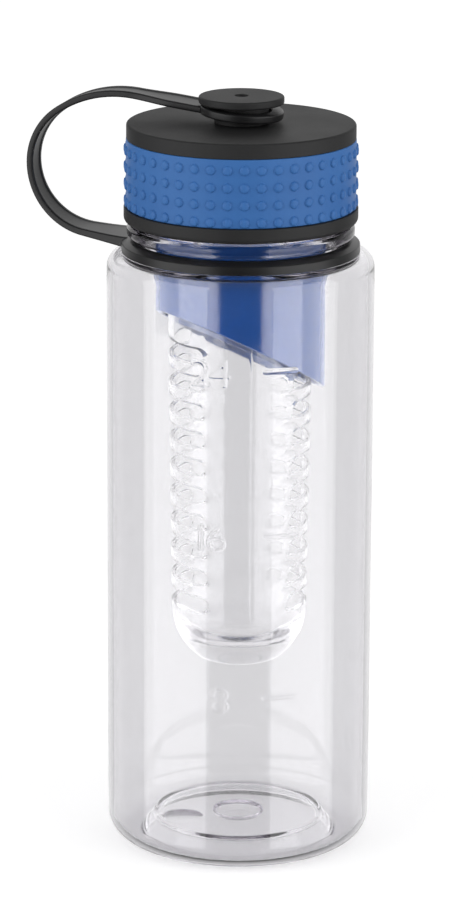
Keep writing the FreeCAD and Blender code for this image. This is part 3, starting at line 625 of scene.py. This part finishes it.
def add_dot(mesh, azimuth, height):
    """One low dome on the sleeve."""
    rings = []
    for reach, rise in DOT_SECTION:
        ring = []
        for angle in even_angles(DOT_SIDES):
            across = reach * math.cos(math.radians(angle))
            up = reach * math.sin(math.radians(angle))
            turn_by = math.degrees(across / BAND_RADIUS)
            ring.append(mesh.verts.new(polar(BAND_RADIUS + rise, azimuth + turn_by, height + up)))
        rings.append(ring)
    rings.append([mesh.verts.new(polar(BAND_RADIUS + DOT_TIP, azimuth, height))])
    for ring, inner in zip(rings, rings[1:]):
        join_rings(mesh, ring, inner)
    mesh.faces.new(reversed(rings[0]))


dots = bmesh.new()
for row in range(DOT_ROWS):
    for column in range(DOT_COLUMNS):
        add_dot(dots, DOT_AZIMUTH + 360.0 * column / DOT_COLUMNS, DOT_TOP_ROW - DOT_PITCH * row)
add_piece(dots, "grip_dots", "lid", BLUE_RUBBER, sharp=60.0)


# Stud, eye, ring and strap


STEM_RADIUS = 5.0
STUD_NECK = 8.1
STUD_SEAT = LID_TOP + 0.02
HEAD_RADIUS = 12.7
PIT_RADIUS = 2.0
PIT_FLOOR = HEAD_TOP - 5
EYE_BORE = 9.0
EYE_RADIUS = 12.5
EYE_HALF = 1.25
RING_BORE = 31.9
RING_SEAT = SHOULDER + 0.05

stud_outline = rounded([
    (0, STEM_LOW),
    (STEM_RADIUS, STEM_LOW, 0.3),
    (STEM_RADIUS, STUD_SEAT),
    (STUD_NECK, STUD_SEAT, 0.3),
    (STUD_NECK, HEAD_LOW, 0.5),
    (HEAD_RADIUS, HEAD_LOW, 0.6),
    (HEAD_RADIUS, HEAD_TOP, 0.6),
    (PIT_RADIUS, HEAD_TOP, 0.35),
    (PIT_RADIUS, PIT_FLOOR, 0.2),
    (0, PIT_FLOOR),
])
stud = turned_mesh(stud_outline, even_angles(128))
add_piece(stud, "stud_button", "lid", BLACK_PLASTIC, ["tether_stud"])

loop_turn = Matrix.Rotation(math.radians(LOOP_AZIMUTH), 4, "Z")
eye_tilt = Matrix.Rotation(-math.radians(EYE_TILT), 4, "Y")
eye_turn = loop_turn @ Matrix.Translation((0, 0, EYE_HEIGHT * MM)) @ eye_tilt

eye_outline = rounded([
    (EYE_BORE, -EYE_HALF, 0.4),
    (EYE_RADIUS, -EYE_HALF, 0.6),
    (EYE_RADIUS, EYE_HALF, 0.6),
    (EYE_BORE, EYE_HALF, 0.4),
])
eye = turned_mesh(eye_outline, even_angles(128))
bmesh.ops.transform(eye, matrix=eye_turn, verts=eye.verts)
add_piece(eye, "tether_eye", "tether_head", BLACK_RUBBER, ["tether_eyelet"])

ring_outline = rounded([
    (RING_BORE, RING_SEAT, 0.3),
    (35.6, RING_SEAT, 0.2),
    (35.5, SHOULDER + 2.6, 0.35),
    (33.6, SHOULDER + 3.5, 0.8),
    (RING_BORE, SHOULDER + 3.9, 0.3),
])
ring_mesh = turned_mesh(ring_outline, even_angles(192))
add_piece(ring_mesh, "neck_ring", "tether", BLACK_RUBBER, ["tether_ring"])

STRAP_WIDTH = 9.0
STRAP_RIM = 2.0
STRAP_WEB = 1.4
STRAP_RIM_WIDTH = 1.8
EYE_FLARE = 3.4
FLARE_END = 32.0
FLARE_RUN = 12.0
ROOT_FLARE = 8.0
ROOT_SWELL = 1.3
LOOP_REACH = 64.6
LOOP_CREST = 228.9
CREST_BEND = 34.0
SIDE_BEND = 19.5
LOOP_LOWER = 20.4
ROOT_SLOPE = 9.5
ROOT_START = 33.4
ROOT_HEIGHT = 184.2
EYE_START = 11.0


def way_of(angle):
    """Unit vector at an angle in the strap's plane."""
    return Vector((math.cos(math.radians(angle)), math.sin(math.radians(angle))))


def arc_points(centre, radius, first, last, steps):
    """Points and tangent angles along a clockwise bend of the strap's path."""
    found = []
    for step in range(steps + 1):
        angle = first + (last - first) * step / steps
        found.append((Vector(centre) + way_of(angle) * radius, angle - 90))
    return found


def strap_path():
    """Middle line of the strap in its plane, as points and headings.

    It goes from the eye over a crest, round the loop and back to the ring.
    """
    root_way = way_of(ROOT_SLOPE)
    finish = Vector((ROOT_START, ROOT_HEIGHT))
    root_run = (LOOP_REACH - finish.x - LOOP_LOWER * (1 - root_way.y)) / root_way.x
    lower_bend = finish + root_way * root_run
    outermost = lower_bend.y + LOOP_LOWER * root_way.x
    side = Vector((LOOP_REACH - SIDE_BEND, outermost))
    lean = math.acos((outermost - LOOP_CREST + CREST_BEND) / (CREST_BEND - SIDE_BEND))
    crest = Vector((side.x - (CREST_BEND - SIDE_BEND) * math.sin(lean), LOOP_CREST - CREST_BEND))
    start = Vector((0, EYE_HEIGHT)) + way_of(EYE_TILT) * EYE_START
    gap = crest - start
    slope = math.degrees(math.asin(CREST_BEND / gap.length) + math.atan2(gap.y, gap.x))
    eye_run = math.sqrt(gap.length ** 2 - CREST_BEND ** 2)
    turn_at = 90 - math.degrees(lean)
    path = [(start + way_of(slope) * (eye_run * step / 14), slope) for step in range(14)]
    path += arc_points(crest, CREST_BEND, 90 + slope, turn_at, 22)
    path += arc_points(side, SIDE_BEND, turn_at, 0, 18)[1:]
    path += arc_points((LOOP_REACH - LOOP_LOWER, outermost), LOOP_LOWER, 0, ROOT_SLOPE - 90, 26)[1:]
    back = ROOT_SLOPE - 180
    path += [(lower_bend - root_way * (root_run * step / 16), back) for step in range(1, 17)]
    return path


def strap_section(width, thick, groove):
    """Section of the strap: rounded rims along both edges and a groove in each face."""
    half = width / 2
    inner = half - STRAP_RIM_WIDTH
    top = thick / 2
    floor = top - groove
    face = [
        (-half, top - 0.55),
        (-half + 0.12, top - 0.2),
        (-half + 0.45, top),
        (-inner - 0.35, top),
        (-inner - 0.1, top - groove * 0.4),
        (-inner + 0.25, floor),
        (inner - 0.25, floor),
        (inner + 0.1, top - groove * 0.4),
        (inner + 0.35, top),
        (half - 0.45, top),
        (half - 0.12, top - 0.2),
        (half, top - 0.55),
    ]
    return face + [(-across, -up) for across, up in face]


def strap_mesh():
    """Strap swept along its path, wider into the eye, and wider and thicker into the ring."""
    mesh = bmesh.new()
    path = strap_path()
    outermost = next(index for index, point in enumerate(path) if point[1] <= -90)
    sections = []
    for index, (middle, heading) in enumerate(path):
        near_eye = 0.0
        if index < outermost:
            near_eye = min(max((FLARE_END - middle.x) / FLARE_RUN, 0.0), 1.0)
        near_eye = near_eye * near_eye * (3 - 2 * near_eye)
        near_ring = max(index - outermost, 0) / (len(path) - 1 - outermost)
        width = STRAP_WIDTH + EYE_FLARE * near_eye + ROOT_FLARE * near_ring ** 1.75
        thick = STRAP_RIM + ROOT_SWELL * near_ring ** 4
        groove = (STRAP_RIM - STRAP_WEB) / 2 * (1 - near_ring ** 2) + 0.02
        up = way_of(heading + 90)
        # What it gains in thickness goes to its upper side, clear of the shoulder
        raised = middle - up * (thick - STRAP_RIM) / 2
        ring = []
        for across, lift in strap_section(width, thick, groove):
            point = raised + up * lift
            ring.append(mesh.verts.new(Vector((point.x, across, point.y)) * MM))
        sections.append(ring)
    for section, after in zip(sections, sections[1:]):
        join_rings(mesh, section, after)
    mesh.faces.new(sections[0])
    mesh.faces.new(reversed(sections[-1]))
    bmesh.ops.transform(mesh, matrix=loop_turn, verts=mesh.verts)
    return mesh


strap = add_piece(
    strap_mesh(), "tether_band", None, BLACK_RUBBER, ["tether_strap"], sharp=50.0
)
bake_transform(strap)


# Infuser collar and basket


FLANGE_RADIUS = 27.1
FLANGE_LOW = SOCKET_LOW - 2
SHELF_LOW = 10.3
SHELF_HIGH = 12.3
SPIGOT_REACH = 1.0


def add_collar():
    """Collar: slanted tube, stop flange, shelf and spigot."""
    mesh = bmesh.new()
    angles = even_angles(160)
    section = [
        (COLLAR_RADIUS - CHAMFER, slanted(0)),
        (COLLAR_RADIUS, slanted(CHAMFER)),
        (COLLAR_RADIUS, FLANGE_LOW),
        (FLANGE_RADIUS, FLANGE_LOW),
        (FLANGE_RADIUS, SOCKET_LOW),
        (COLLAR_RADIUS, SOCKET_LOW),
        (COLLAR_RADIUS, COLLAR_TOP - CHAMFER),
        (COLLAR_RADIUS - CHAMFER, COLLAR_TOP),
        (COLLAR_BORE + CHAMFER, COLLAR_TOP),
        (COLLAR_BORE, COLLAR_TOP - CHAMFER),
        (COLLAR_BORE, slanted(SHELF_HIGH)),
        (SPIGOT_BORE, slanted(SHELF_HIGH)),
        (SPIGOT_BORE, slanted(CHAMFER - SPIGOT_REACH)),
        (SPIGOT_BORE + CHAMFER, slanted(-SPIGOT_REACH)),
        (SPIGOT_RADIUS - CHAMFER, slanted(-SPIGOT_REACH)),
        (SPIGOT_RADIUS, slanted(CHAMFER - SPIGOT_REACH)),
        (SPIGOT_RADIUS, slanted(SHELF_LOW)),
        (COLLAR_BORE, slanted(SHELF_LOW)),
        (COLLAR_BORE, slanted(CHAMFER)),
        (COLLAR_BORE + CHAMFER, slanted(0)),
    ]
    rings = [ring_of(mesh, radius, angles, height) for radius, height in section]
    for index, ring in enumerate(rings):
        join_rings(mesh, ring, rings[(index + 1) % len(rings)])
    add_piece(mesh, "collar_tube", "collar", BLUE_PLASTIC, ["infuser_collar"])


add_collar()

BASKET_DOME = 73.6
BASKET_LOW_RADIUS = 20.5
BASKET_TAPER = 1.4
BASKET_SPAN = 103.3
BASKET_WALL = 1.5
DOME_FLAT = 12.2
FLOOR_ROUND = 9.2
RIM_BEAD = 23.4
BEAD_ABOVE = 7.5
SLOT_FIRST = 77.5
SLOT_PITCH = 8.57
SLOT_HALF_HEIGHT = 2.15
SLOT_HALF_ANGLE = 53.0
SLOT_EDGE = 0.45
LOW_ROWS = 9
HIGH_ROWS = 10
CELL_HALF_ANGLE = 66.0
SUB_ROWS = 4
DOME_STEPS = 12
# Shares of the plain strip's width. The parting line stands up at the middle of the front one.
STRIP_SHARES = [0, 0.125, 0.25, 0.375, 0.465, 0.487, 0.5, 0.513, 0.535, 0.625, 0.75, 0.875, 1]
SEAM_RISE = 0.12
SLOT_STRAIGHT = BASKET_LOW_RADIUS * math.sin(math.radians(SLOT_HALF_ANGLE)) - SLOT_HALF_HEIGHT


def basket_radius(height):
    """Outside of the basket's wall."""
    return BASKET_LOW_RADIUS + BASKET_TAPER * (height - BASKET_DOME) / BASKET_SPAN


def bead_line(azimuth):
    """Height of the lower line of the rim's bead."""
    return edge_plane(BASKET_LOW_RADIUS + BASKET_TAPER, azimuth, BEAD_ABOVE)


def row_edge(row):
    """Height of the line below a row of slots."""
    return BASKET_DOME if row == 0 else SLOT_FIRST + SLOT_PITCH * (row - 0.5)


def slot_end(angle, grow):
    """Point on a slot's round end, for an angle from the right."""
    reach = SLOT_HALF_HEIGHT + grow
    side = SLOT_STRAIGHT if math.cos(math.radians(angle)) > 0 else -SLOT_STRAIGHT
    return side + reach * math.cos(math.radians(angle)), reach * math.sin(math.radians(angle))


def slot_points(sub_rows, grow):
    """Points round a slot as (across, up): lower side, right end, upper side, left end."""
    rows = [SLOT_STRAIGHT * (step / 6 - 1) for step in range(13)]
    reach = SLOT_HALF_HEIGHT + grow
    points = [slot_end(230, grow), slot_end(250, grow)]
    points += [(across, -reach) for across in rows]
    points += [slot_end(290, grow), slot_end(310, grow)]
    points += [slot_end(310 + 100 * step / sub_rows, grow) for step in range(1, sub_rows)]
    points += [slot_end(50, grow), slot_end(70, grow)]
    points += [(-across, reach) for across in rows]
    points += [slot_end(110, grow), slot_end(130, grow)]
    points += [slot_end(130 + 100 * step / sub_rows, grow) for step in range(1, sub_rows)]
    return points


def cell_spreads():
    """Places along a cell's lower edge, from -1 at its left to 1 at its right."""
    angles = [math.asin(across / BASKET_LOW_RADIUS) for across, up in slot_points(SUB_ROWS, 0)[:17]]
    return [angle / angles[-1] for angle in angles]


def cell_points(sub_rows):
    """Points round a cell as (place along, share of its height), in step with slot_points."""
    lower = [(spread, 0.0) for spread in cell_spreads()]
    right = [(1.0, step / sub_rows) for step in range(1, sub_rows)]
    upper = [(-spread, 1.0) for spread in cell_spreads()]
    left = [(-1.0, 1 - step / sub_rows) for step in range(1, sub_rows)]
    return lower + right + upper + left


class BasketWall:
    """One face of the basket's wall, inside or outside, with its slots open.

    The wall is laid out in cells, one round each slot, with plain strips between the two columns.
    Vertices are shared by their azimuth and height.
    """

    def __init__(self, mesh, inset):
        self.mesh = mesh
        self.inset = inset
        self.found = {}
        self.slots = []

    def vertex(self, azimuth, height):
        """Vertex of the wall; the same place gives the same vertex."""
        key = (round(azimuth % 360, 4), round(height, 4))
        if key not in self.found:
            on_seam = abs((azimuth - SLOT_AZIMUTH) % 360 - 270) < 0.01 and self.inset == 0
            radius = basket_radius(height) - self.inset + (SEAM_RISE if on_seam else 0)
            self.found[key] = self.mesh.verts.new(polar(radius, azimuth, height))
        return self.found[key]

    def add_cell(self, column, row, top_row):
        """Cell with its slot. The top cell of a column goes up to the bead."""
        sub_rows = 2 * SUB_ROWS if top_row and row == LOW_ROWS - 1 else SUB_ROWS
        middle = SLOT_FIRST + SLOT_PITCH * row
        low = row_edge(row)
        frame_loop = []
        for spread, share in cell_points(sub_rows):
            azimuth = column + spread * CELL_HALF_ANGLE
            high = bead_line(azimuth) if top_row else row_edge(row + 1)
            frame_loop.append(self.vertex(azimuth, low + (high - low) * share))
        hole = slot_ring(self.mesh, column, middle, sub_rows, self.inset, SLOT_EDGE)
        join_rings(self.mesh, frame_loop, hole)
        self.slots.append((hole, column, middle, sub_rows))

    def add_strip(self, first, last, last_is_low):
        """Plain strip from one column's edge to the next."""
        lines = []
        for across in STRIP_SHARES:
            azimuth = first + (last - first) * across
            line = []
            for row in range(LOW_ROWS - 1):
                rise = row_edge(row + 1) - row_edge(row)
                line += [row_edge(row) + rise * part / SUB_ROWS for part in range(SUB_ROWS)]
            base = row_edge(LOW_ROWS - 1)
            low_share = across if last_is_low else 1 - across
            high_edge = first if last_is_low else last
            kink = (row_edge(LOW_ROWS) - base) / (bead_line(high_edge) - base)
            for part in range(2 * SUB_ROWS + 1):
                even = part / (2 * SUB_ROWS)
                bent = kink * 2 * even if even <= 0.5 else kink + (1 - kink) * (2 * even - 1)
                line.append(base + (bead_line(azimuth) - base) * (even * low_share + bent * (1 - low_share)))
            lines.append([self.vertex(azimuth, height) for height in line])
        for line, after in zip(lines, lines[1:]):
            for index in range(len(line) - 1):
                self.mesh.faces.new([line[index], after[index], after[index + 1], line[index + 1]])


def slot_ring(mesh, column, middle, sub_rows, inset, grow):
    """Ring of vertices round a slot at a depth in the wall."""
    ring = []
    for across, up in slot_points(sub_rows, grow):
        radius = basket_radius(middle + up) - inset
        azimuth = column + math.degrees(math.asin(across / radius))
        ring.append(mesh.verts.new(polar(radius, azimuth, middle + up)))
    return ring


def basket_angles():
    """Azimuths of the wall's vertices along a level line."""
    angles = []
    for column in (SLOT_AZIMUTH, SLOT_AZIMUTH + 180):
        angles += [column + spread * CELL_HALF_ANGLE for spread in cell_spreads()]
        gap = 180 - 2 * CELL_HALF_ANGLE
        angles += [column + CELL_HALF_ANGLE + gap * across for across in STRIP_SHARES[1:-1]]
    return angles


def dome_outlines():
    """Points below the wall, outside and inside, from the wall down to the axis."""
    end = math.degrees(math.acos(DOME_FLAT / BASKET_LOW_RADIUS))
    outside = []
    for step in range(1, DOME_STEPS + 1):
        angle = math.radians((end - 2.5) * step / DOME_STEPS)
        drop = BASKET_LOW_RADIUS * math.sin(angle)
        outside.append((BASKET_LOW_RADIUS * math.cos(angle), BASKET_DOME - drop))
    low = BASKET_DOME - BASKET_LOW_RADIUS * math.sin(math.radians(end))
    outside += [(DOME_FLAT - 0.6, low), (DOME_FLAT * 0.6, low), (0, low)]
    middle = BASKET_LOW_RADIUS - BASKET_WALL - FLOOR_ROUND
    inside = []
    for step in range(1, DOME_STEPS + 1):
        angle = math.radians(90 * step / DOME_STEPS)
        inside.append((middle + FLOOR_ROUND * math.cos(angle), BASKET_DOME - FLOOR_ROUND * math.sin(angle)))
    inside += [(middle * 0.5, BASKET_DOME - FLOOR_ROUND), (0, BASKET_DOME - FLOOR_ROUND)]
    return outside, inside


def add_basket():
    """Basket: slotted wall inside and outside, rim bead and domed end."""
    mesh = bmesh.new()
    outside = BasketWall(mesh, 0)
    inside = BasketWall(mesh, BASKET_WALL)
    low_right = SLOT_AZIMUTH + CELL_HALF_ANGLE
    high_left = SLOT_AZIMUTH + 180 - CELL_HALF_ANGLE
    for wall in (outside, inside):
        for row in range(LOW_ROWS):
            wall.add_cell(SLOT_AZIMUTH, row, row == LOW_ROWS - 1)
        for row in range(HIGH_ROWS):
            wall.add_cell(SLOT_AZIMUTH + 180, row, row == HIGH_ROWS - 1)
        wall.add_strip(low_right, high_left, False)
        wall.add_strip(low_right + 180, high_left + 180, True)
    for outer, inner in zip(outside.slots, inside.slots):
        near = slot_ring(mesh, *outer[1:], SLOT_EDGE, 0)
        far = slot_ring(mesh, *outer[1:], BASKET_WALL - SLOT_EDGE, 0)
        join_rings(mesh, outer[0], near)
        join_rings(mesh, near, far)
        join_rings(mesh, far, inner[0])
    angles = basket_angles()
    for wall, outline in zip((outside, inside), dome_outlines()):
        ring = [wall.vertex(angle, BASKET_DOME) for angle in angles]
        for radius, height in outline:
            below = ring_of(mesh, radius, angles if radius > 0 else [0], height)
            join_rings(mesh, ring, below)
            ring = below
    rim_bore = basket_radius(EDGE_HEIGHT + BASKET_INSERT) - BASKET_WALL
    ring = [outside.vertex(angle, bead_line(angle)) for angle in angles]
    rim = [
        (RIM_BEAD - CHAMFER, slanted(BEAD_ABOVE)),
        (RIM_BEAD, slanted(BEAD_ABOVE + CHAMFER)),
        (RIM_BEAD, slanted(BASKET_INSERT - CHAMFER)),
        (RIM_BEAD - CHAMFER, slanted(BASKET_INSERT)),
        (rim_bore + 0.4, slanted(BASKET_INSERT)),
        (rim_bore + 0.1, slanted(BASKET_INSERT - CHAMFER)),
    ]
    for radius, height in rim:
        above = ring_of(mesh, radius, angles, height)
        join_rings(mesh, ring, above)
        ring = above
    join_rings(mesh, ring, [inside.vertex(angle, bead_line(angle)) for angle in angles])
    bmesh.ops.remove_doubles(mesh, verts=mesh.verts, dist=2e-6)
    add_piece(mesh, "basket_tube", "basket", CLEAR_BASKET, ["infuser_basket"])


add_basket()


# Stage, light and camera


# What mirrored rays meet, from the front of the room (0) to the sweep behind the object (1):
# those from the bottle's outside, those from inside it, and those from deep in the basket.
# The levels inside the bottle and deep in the basket are painted reflection and painted highlight,
# brighter than what the outside meets, for a bright veil on the collar and white lines in the basket
ROOM_LEVELS = [(0.0, 0.06), (0.08, 0.06), (0.2, 0.22), (0.7, 0.15), (0.97, 1.0)]
PAINTED_INNER_REFLECTION = [(0.0, 0.06), (0.07, 0.06), (0.11, 2.1), (0.5, 2.2), (0.93, 2.2), (1.0, 1.0)]
# Painted highlight: rays deep in the basket meet a level above white, which whitens the lines there
PAINTED_DEEP_HIGHLIGHT = 1.2
# Clear surfaces that a ray has passed before it counts as inside the bottle, and as deep in the basket
INNER_PASSES = 3.5
DEEP_PASSES = 4.5
DIRECTION_SPAN = (-1.0, 1.0)
FILL_LOW = 0.15
FILL_HIGH = 0.7
FLOOR_NEAR = 0.21
FLOOR_FAR = 0.47
FLOOR_FADE = 1.4
FLOOR_SHADE = 0.9
FLOOR_MATT = 0.6
FLOOR_HALF = 4
FLOOR_DROP = 0.0002
SOFTBOX_TURN = 59
SOFTBOX_DISTANCE = 900
SOFTBOX_HEIGHT = 200
# In metres
SOFTBOX_WIDTH = 1.08
SOFTBOX_TALL = 1.4
SOFTBOX_RADIANCE = 2.1
LENS = 172.96
SENSOR = 36
SHIFT_X = -0.0034
SHIFT_Y = 0.0403
CAMERA_PITCH = 15.59
CAMERA_ROLL = 0.29
CAMERA_PLACE = (0, -1.26, 0.4615)


def feed(links, socket, value):
    """Set a socket to a number, or link another socket to it."""
    if isinstance(value, (int, float)):
        socket.default_value = value
    else:
        links.new(value, socket)


def add_math(nodes, links, operation, first, second):
    """Math node on two values, each a socket or a number."""
    node = nodes.new("ShaderNodeMath")
    node.operation = operation
    feed(links, node.inputs[0], first)
    feed(links, node.inputs[1], second)
    return node.outputs["Value"]


def add_blend(nodes, links, share, first, second):
    """Level between two levels, each a socket or a number."""
    node = nodes.new("ShaderNodeMix")
    feed(links, node.inputs["Factor"], share)
    feed(links, node.inputs["A"], first)
    feed(links, node.inputs["B"], second)
    return node.outputs["Result"]


def is_mirrored(nodes, links, path):
    """1 for a ray that has been mirrored on its way."""
    return add_math(nodes, links, "GREATER_THAN", path.outputs["Glossy Depth"], 0.5)


def add_floor():
    """White floor that keeps a light shadow of the object. Mirrored rays pass through it."""
    mesh = bmesh.new()
    bmesh.ops.create_grid(mesh, x_segments=8, y_segments=8, size=FLOOR_HALF)
    data = bpy.data.meshes.new("floor")
    mesh.to_mesh(data)
    mesh.free()
    floor = bpy.data.objects.new("floor", data)
    floor.location.z = -FLOOR_DROP
    bpy.context.scene.collection.objects.link(floor)
    material, nodes, links, shader = new_material("floor")
    nodes.remove(shader)
    matt = nodes.new("ShaderNodeBsdfDiffuse")
    matt.inputs["Color"].default_value = (FLOOR_MATT, FLOOR_MATT, FLOOR_MATT, 1)
    shade = nodes.new("ShaderNodeBsdfDiffuse")
    shade.inputs["Color"].default_value = (FLOOR_SHADE, FLOOR_SHADE, FLOOR_SHADE, 1)
    place = nodes.new("ShaderNodeNewGeometry")
    reach = nodes.new("ShaderNodeVectorMath")
    reach.operation = "LENGTH"
    links.new(place.outputs["Position"], reach.inputs[0])
    level = stretch(nodes, links, reach.outputs["Value"], (0.0, FLOOR_FADE), FLOOR_NEAR, FLOOR_FAR)
    glow = nodes.new("ShaderNodeEmission")
    links.new(level, glow.inputs["Strength"])
    bright = nodes.new("ShaderNodeAddShader")
    links.new(shade.outputs["BSDF"], bright.inputs[0])
    links.new(glow.outputs["Emission"], bright.inputs[1])
    through = nodes.new("ShaderNodeBsdfTransparent")
    path = nodes.new("ShaderNodeLightPath")
    straight, passed = path.outputs["Is Camera Ray"], path.outputs["Is Transmission Ray"]
    seen = add_math(nodes, links, "MAXIMUM", straight, passed)
    lit = add_mix(nodes, links, seen, matt.outputs["BSDF"], bright.outputs["Shader"])
    surface = add_mix(nodes, links, is_mirrored(nodes, links, path), lit, through.outputs["BSDF"])
    links.new(surface, nodes["Material Output"].inputs["Surface"])
    data.materials.append(material)


add_floor()


def add_levels(nodes, links, source, levels):
    """Grey level between the stops of a list of (place, level)."""
    ramp = nodes.new("ShaderNodeValToRGB")
    stops = ramp.color_ramp.elements
    for index, (place, level) in enumerate(levels):
        stop = stops[index] if index < 2 else stops.new(place)
        stop.position = place
        stop.color = (level, level, level, 1)
    links.new(source, ramp.inputs["Fac"])
    return ramp.outputs["Color"]


def add_world():
    """White sweep behind the object and a dim room in front of it, with a fill from above, and painted
    reflection for rays mirrored inside the bottle.
    """
    world = bpy.data.worlds.new("studio")
    bpy.context.scene.world = world
    world.use_nodes = True
    nodes = world.node_tree.nodes
    links = world.node_tree.links
    path = nodes.new("ShaderNodeLightPath")
    background = nodes["Background"]
    background.inputs["Color"].default_value = (1, 1, 1, 1)
    way = nodes.new("ShaderNodeTexCoord")
    split = nodes.new("ShaderNodeSeparateXYZ")
    links.new(way.outputs["Generated"], split.inputs["Vector"])
    turn = stretch(nodes, links, split.outputs["Y"], DIRECTION_SPAN, 0.0, 1.0)
    outer_room = add_levels(nodes, links, turn, ROOM_LEVELS)
    # Painted reflection: rays mirrored inside the bottle meet levels as bright as the softboxes nearly all
    # round
    painted_inner_reflection = add_levels(nodes, links, turn, PAINTED_INNER_REFLECTION)
    passes = path.outputs["Transmission Depth"]
    inside = add_math(nodes, links, "GREATER_THAN", passes, INNER_PASSES)
    deep = add_math(nodes, links, "GREATER_THAN", passes, DEEP_PASSES)
    # Rays that have passed into the bottle get the painted reflection instead of the room
    room_and_painted_reflection = add_blend(nodes, links, inside, outer_room, painted_inner_reflection)
    # Painted highlight for rays deep in the basket
    room_and_painted_reflection = add_blend(nodes, links, deep, room_and_painted_reflection, PAINTED_DEEP_HIGHLIGHT)
    seen = add_blend(nodes, links, is_mirrored(nodes, links, path), 1.0, room_and_painted_reflection)
    fill = stretch(nodes, links, split.outputs["Z"], DIRECTION_SPAN, FILL_LOW, FILL_HIGH)
    level = add_blend(nodes, links, path.outputs["Is Diffuse Ray"], seen, fill)
    links.new(level, background.inputs["Strength"])


add_world()


def add_softbox(name, azimuth):
    """Upright soft light that faces the axis."""
    light = bpy.data.lights.new(name, "AREA")
    light.shape = "RECTANGLE"
    light.size = SOFTBOX_WIDTH
    light.size_y = SOFTBOX_TALL
    light.energy = SOFTBOX_RADIANCE * math.pi * SOFTBOX_WIDTH * SOFTBOX_TALL
    softbox = bpy.data.objects.new(name, light)
    softbox.location = polar(SOFTBOX_DISTANCE, azimuth, SOFTBOX_HEIGHT)
    facing = Vector((-softbox.location.x, -softbox.location.y, 0))
    softbox.rotation_euler = facing.to_track_quat("-Z", "Y").to_euler()
    bpy.context.scene.collection.objects.link(softbox)


add_softbox("softbox_left", FRONT - SOFTBOX_TURN)
add_softbox("softbox_right", FRONT + SOFTBOX_TURN)

camera_data = bpy.data.cameras.new("camera")
camera_data.lens = LENS
camera_data.sensor_width = SENSOR
camera_data.shift_x = SHIFT_X
camera_data.shift_y = SHIFT_Y
camera = bpy.data.objects.new("camera", camera_data)
pitch = Matrix.Rotation(math.radians(90 - CAMERA_PITCH), 4, "X")
roll = Matrix.Rotation(math.radians(CAMERA_ROLL), 4, "Z")
camera.matrix_world = Matrix.Translation(CAMERA_PLACE) @ pitch @ roll
bpy.context.scene.collection.objects.link(camera)
bpy.context.scene.camera = camera
bpy.context.scene.view_settings.view_transform = "Standard"
bpy.context.scene.cycles.max_bounces = 24
bpy.context.scene.cycles.glossy_bounces = 16
bpy.context.scene.cycles.transmission_bounces = 24
